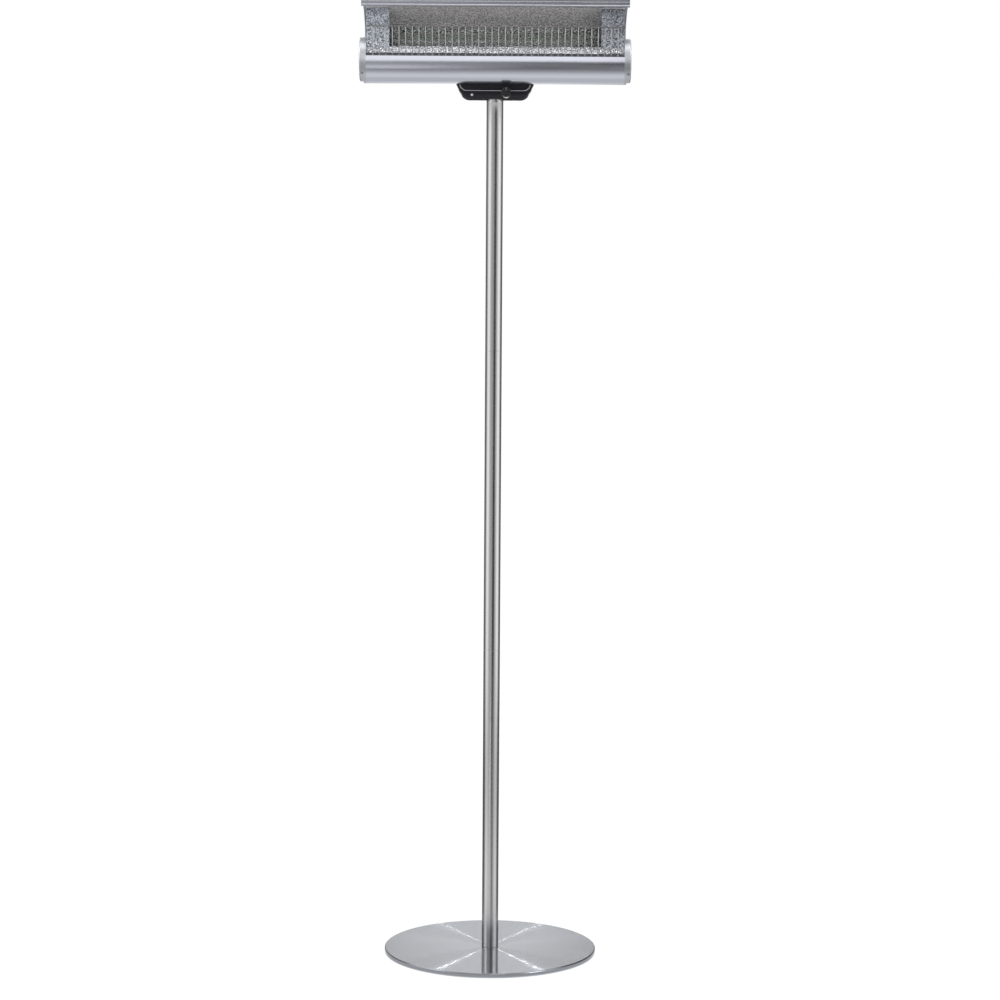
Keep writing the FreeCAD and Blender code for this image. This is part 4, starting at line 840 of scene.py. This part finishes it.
def makeToneRing(values):
    steps = round(360.0 / values["step"])
    columns, tones = [], []
    for step in range(steps + 1):
        angle = -180.0 + 360.0 * step / steps
        turn = math.radians(angle)
        wall, floor = toneAt(values["wall"], angle), toneAt(values["floor"], angle)
        places = []
        for reach, plain, share in values["floorRows"]:
            places.append((reach, values["floorHeight"], plain + floor * share))
        for height in (values["wallFoot"], values["top"]):
            places.append((values["wallReach"], height, wall))
        x, y = math.sin(turn), -math.cos(turn)
        columns.append([(reach * x, reach * y, height) for reach, height, tone in places])
        tones += [tone for reach, height, tone in places]
    toneMesh("toneRing", columns, tones)


# Cards: rows give forward place, height and share of the tone; stops give place across and tone
cards = {
    "gangway": {"rows": [(-1.45, 0.006, 1.0), (-4.3, 0.006, 1.0)],
                "stops": [(-0.50, 1.75), (-0.30, 0.95), (-0.20, 0.50), (-0.05, 0.06), (0.05, 0.02),
                          (0.3, 0.02), (0.5, 0.38), (0.75, 0.40)]},  # strips on the floor, for the pole
    "underCard": {"rows": [(-0.132, 1.80, 0.24), (-0.119, 1.80, 0.34), (-0.100, 1.80, 0.60),
                           (-0.083, 1.80, 0.86), (-0.068, 1.80, 0.98), (-0.050, 1.80, 0.74),
                           (-0.010, 1.80, 0.72)],
                  "stops": [(-0.50, 0.70), (-0.29, 0.82), (0.29, 0.82), (0.50, 0.70)]},
    "levelCard": {"rows": [(-0.20, 1.855, 1.0), (-0.20, 1.925, 1.0)],
                  "stops": [(-0.31, 1.12), (0.20, 1.12), (0.31, 0.95)]},  # level with the round housing
    "ceiling": {"rows": [(-3.3, 3.1, 1.0), (-1.3, 4.6, 1.0)], "stops": [(-2.5, 0.6), (2.5, 0.6)]},
    "backCeiling": {"rows": [(-0.1, 4.6, 0.8), (1.2, 4.6, 0.5), (2.6, 4.6, 0.9)],
                    "stops": [(-2.5, 0.8), (2.5, 0.8)]},
}


def makeCard(name, values):
    columns = [[(x, y, z) for y, z, share in values["rows"]] for x, tone in values["stops"]]
    toneMesh(name, columns, [tone * share for x, tone in values["stops"] for y, z, share in values["rows"]])


# Soft lamps, aimed at a point on the heater, and two small ones that draw the cross on the spun base
lamps = {
    "leftBox": {"from": (-2.9, -0.9, 3.2), "at": (0.0, 0.0, 1.2), "size": (0.9, 1.6), "watts": 26.0},
    "rightBox": {"from": (2.9, -0.9, 3.2), "at": (0.0, 0.0, 1.2), "size": (0.9, 1.6), "watts": 26.0},
    "overhead": {"from": (0.0, -1.0, 4.4), "at": (0.0, 0.0, 1.0), "size": (2.6, 1.6), "watts": 20.0},
    "backLeftSpot": {"from": (-1.07, 6.8, 5.76), "at": (0.0, 0.0, 0.0), "size": (0.12, 0.12), "watts": 9.0},
    "backRightSpot": {"from": (1.07, 6.8, 5.76), "at": (0.0, 0.0, 0.0), "size": (0.12, 0.12), "watts": 9.0},
}


def makeLamp(name, values):
    light = bpy.data.lights.new(name, "AREA")
    light.shape = "RECTANGLE"
    light.size, light.size_y = values["size"]
    light.energy = values["watts"]
    made = addObject(name, light)
    aim = Vector(values["at"]) - Vector(values["from"])
    turn = aim.to_track_quat("-Z", "Y").to_matrix().to_4x4()
    made.matrix_world = Matrix.Translation(values["from"]) @ turn
    made.visible_camera = False


makeWorld(studio)
makeFloor(studio)
makeToneRing(toneRing)
for name, values in cards.items():
    makeCard(name, values)
for name, values in lamps.items():
    makeLamp(name, values)
print("studio lit by", len(lamps), "lamps")

# Camera at the photograph's place: above the middle of the pole, looking a little down and slightly rolled
viewpoint = {"place": (0.0, -5.2, 1.36275), "tiltDown": 4.333, "panRight": 0.173, "roll": 0.36,
             "lens": 88.83, "sensor": 36.0}


def makeCamera(values):
    data = bpy.data.cameras.new("photoCamera")
    data.sensor_width = values["sensor"]
    data.lens = values["lens"]
    made = addObject("photoCamera", data)
    turn = (Matrix.Rotation(-math.radians(values["panRight"]), 4, "Z")
            @ Matrix.Rotation(math.radians(90.0 - values["tiltDown"]), 4, "X")
            @ Matrix.Rotation(math.radians(values["roll"]), 4, "Z"))
    made.matrix_world = Matrix.Translation(values["place"]) @ turn
    bpy.context.scene.camera = made


makeCamera(viewpoint)
bpy.context.scene.view_settings.view_transform = "Standard"
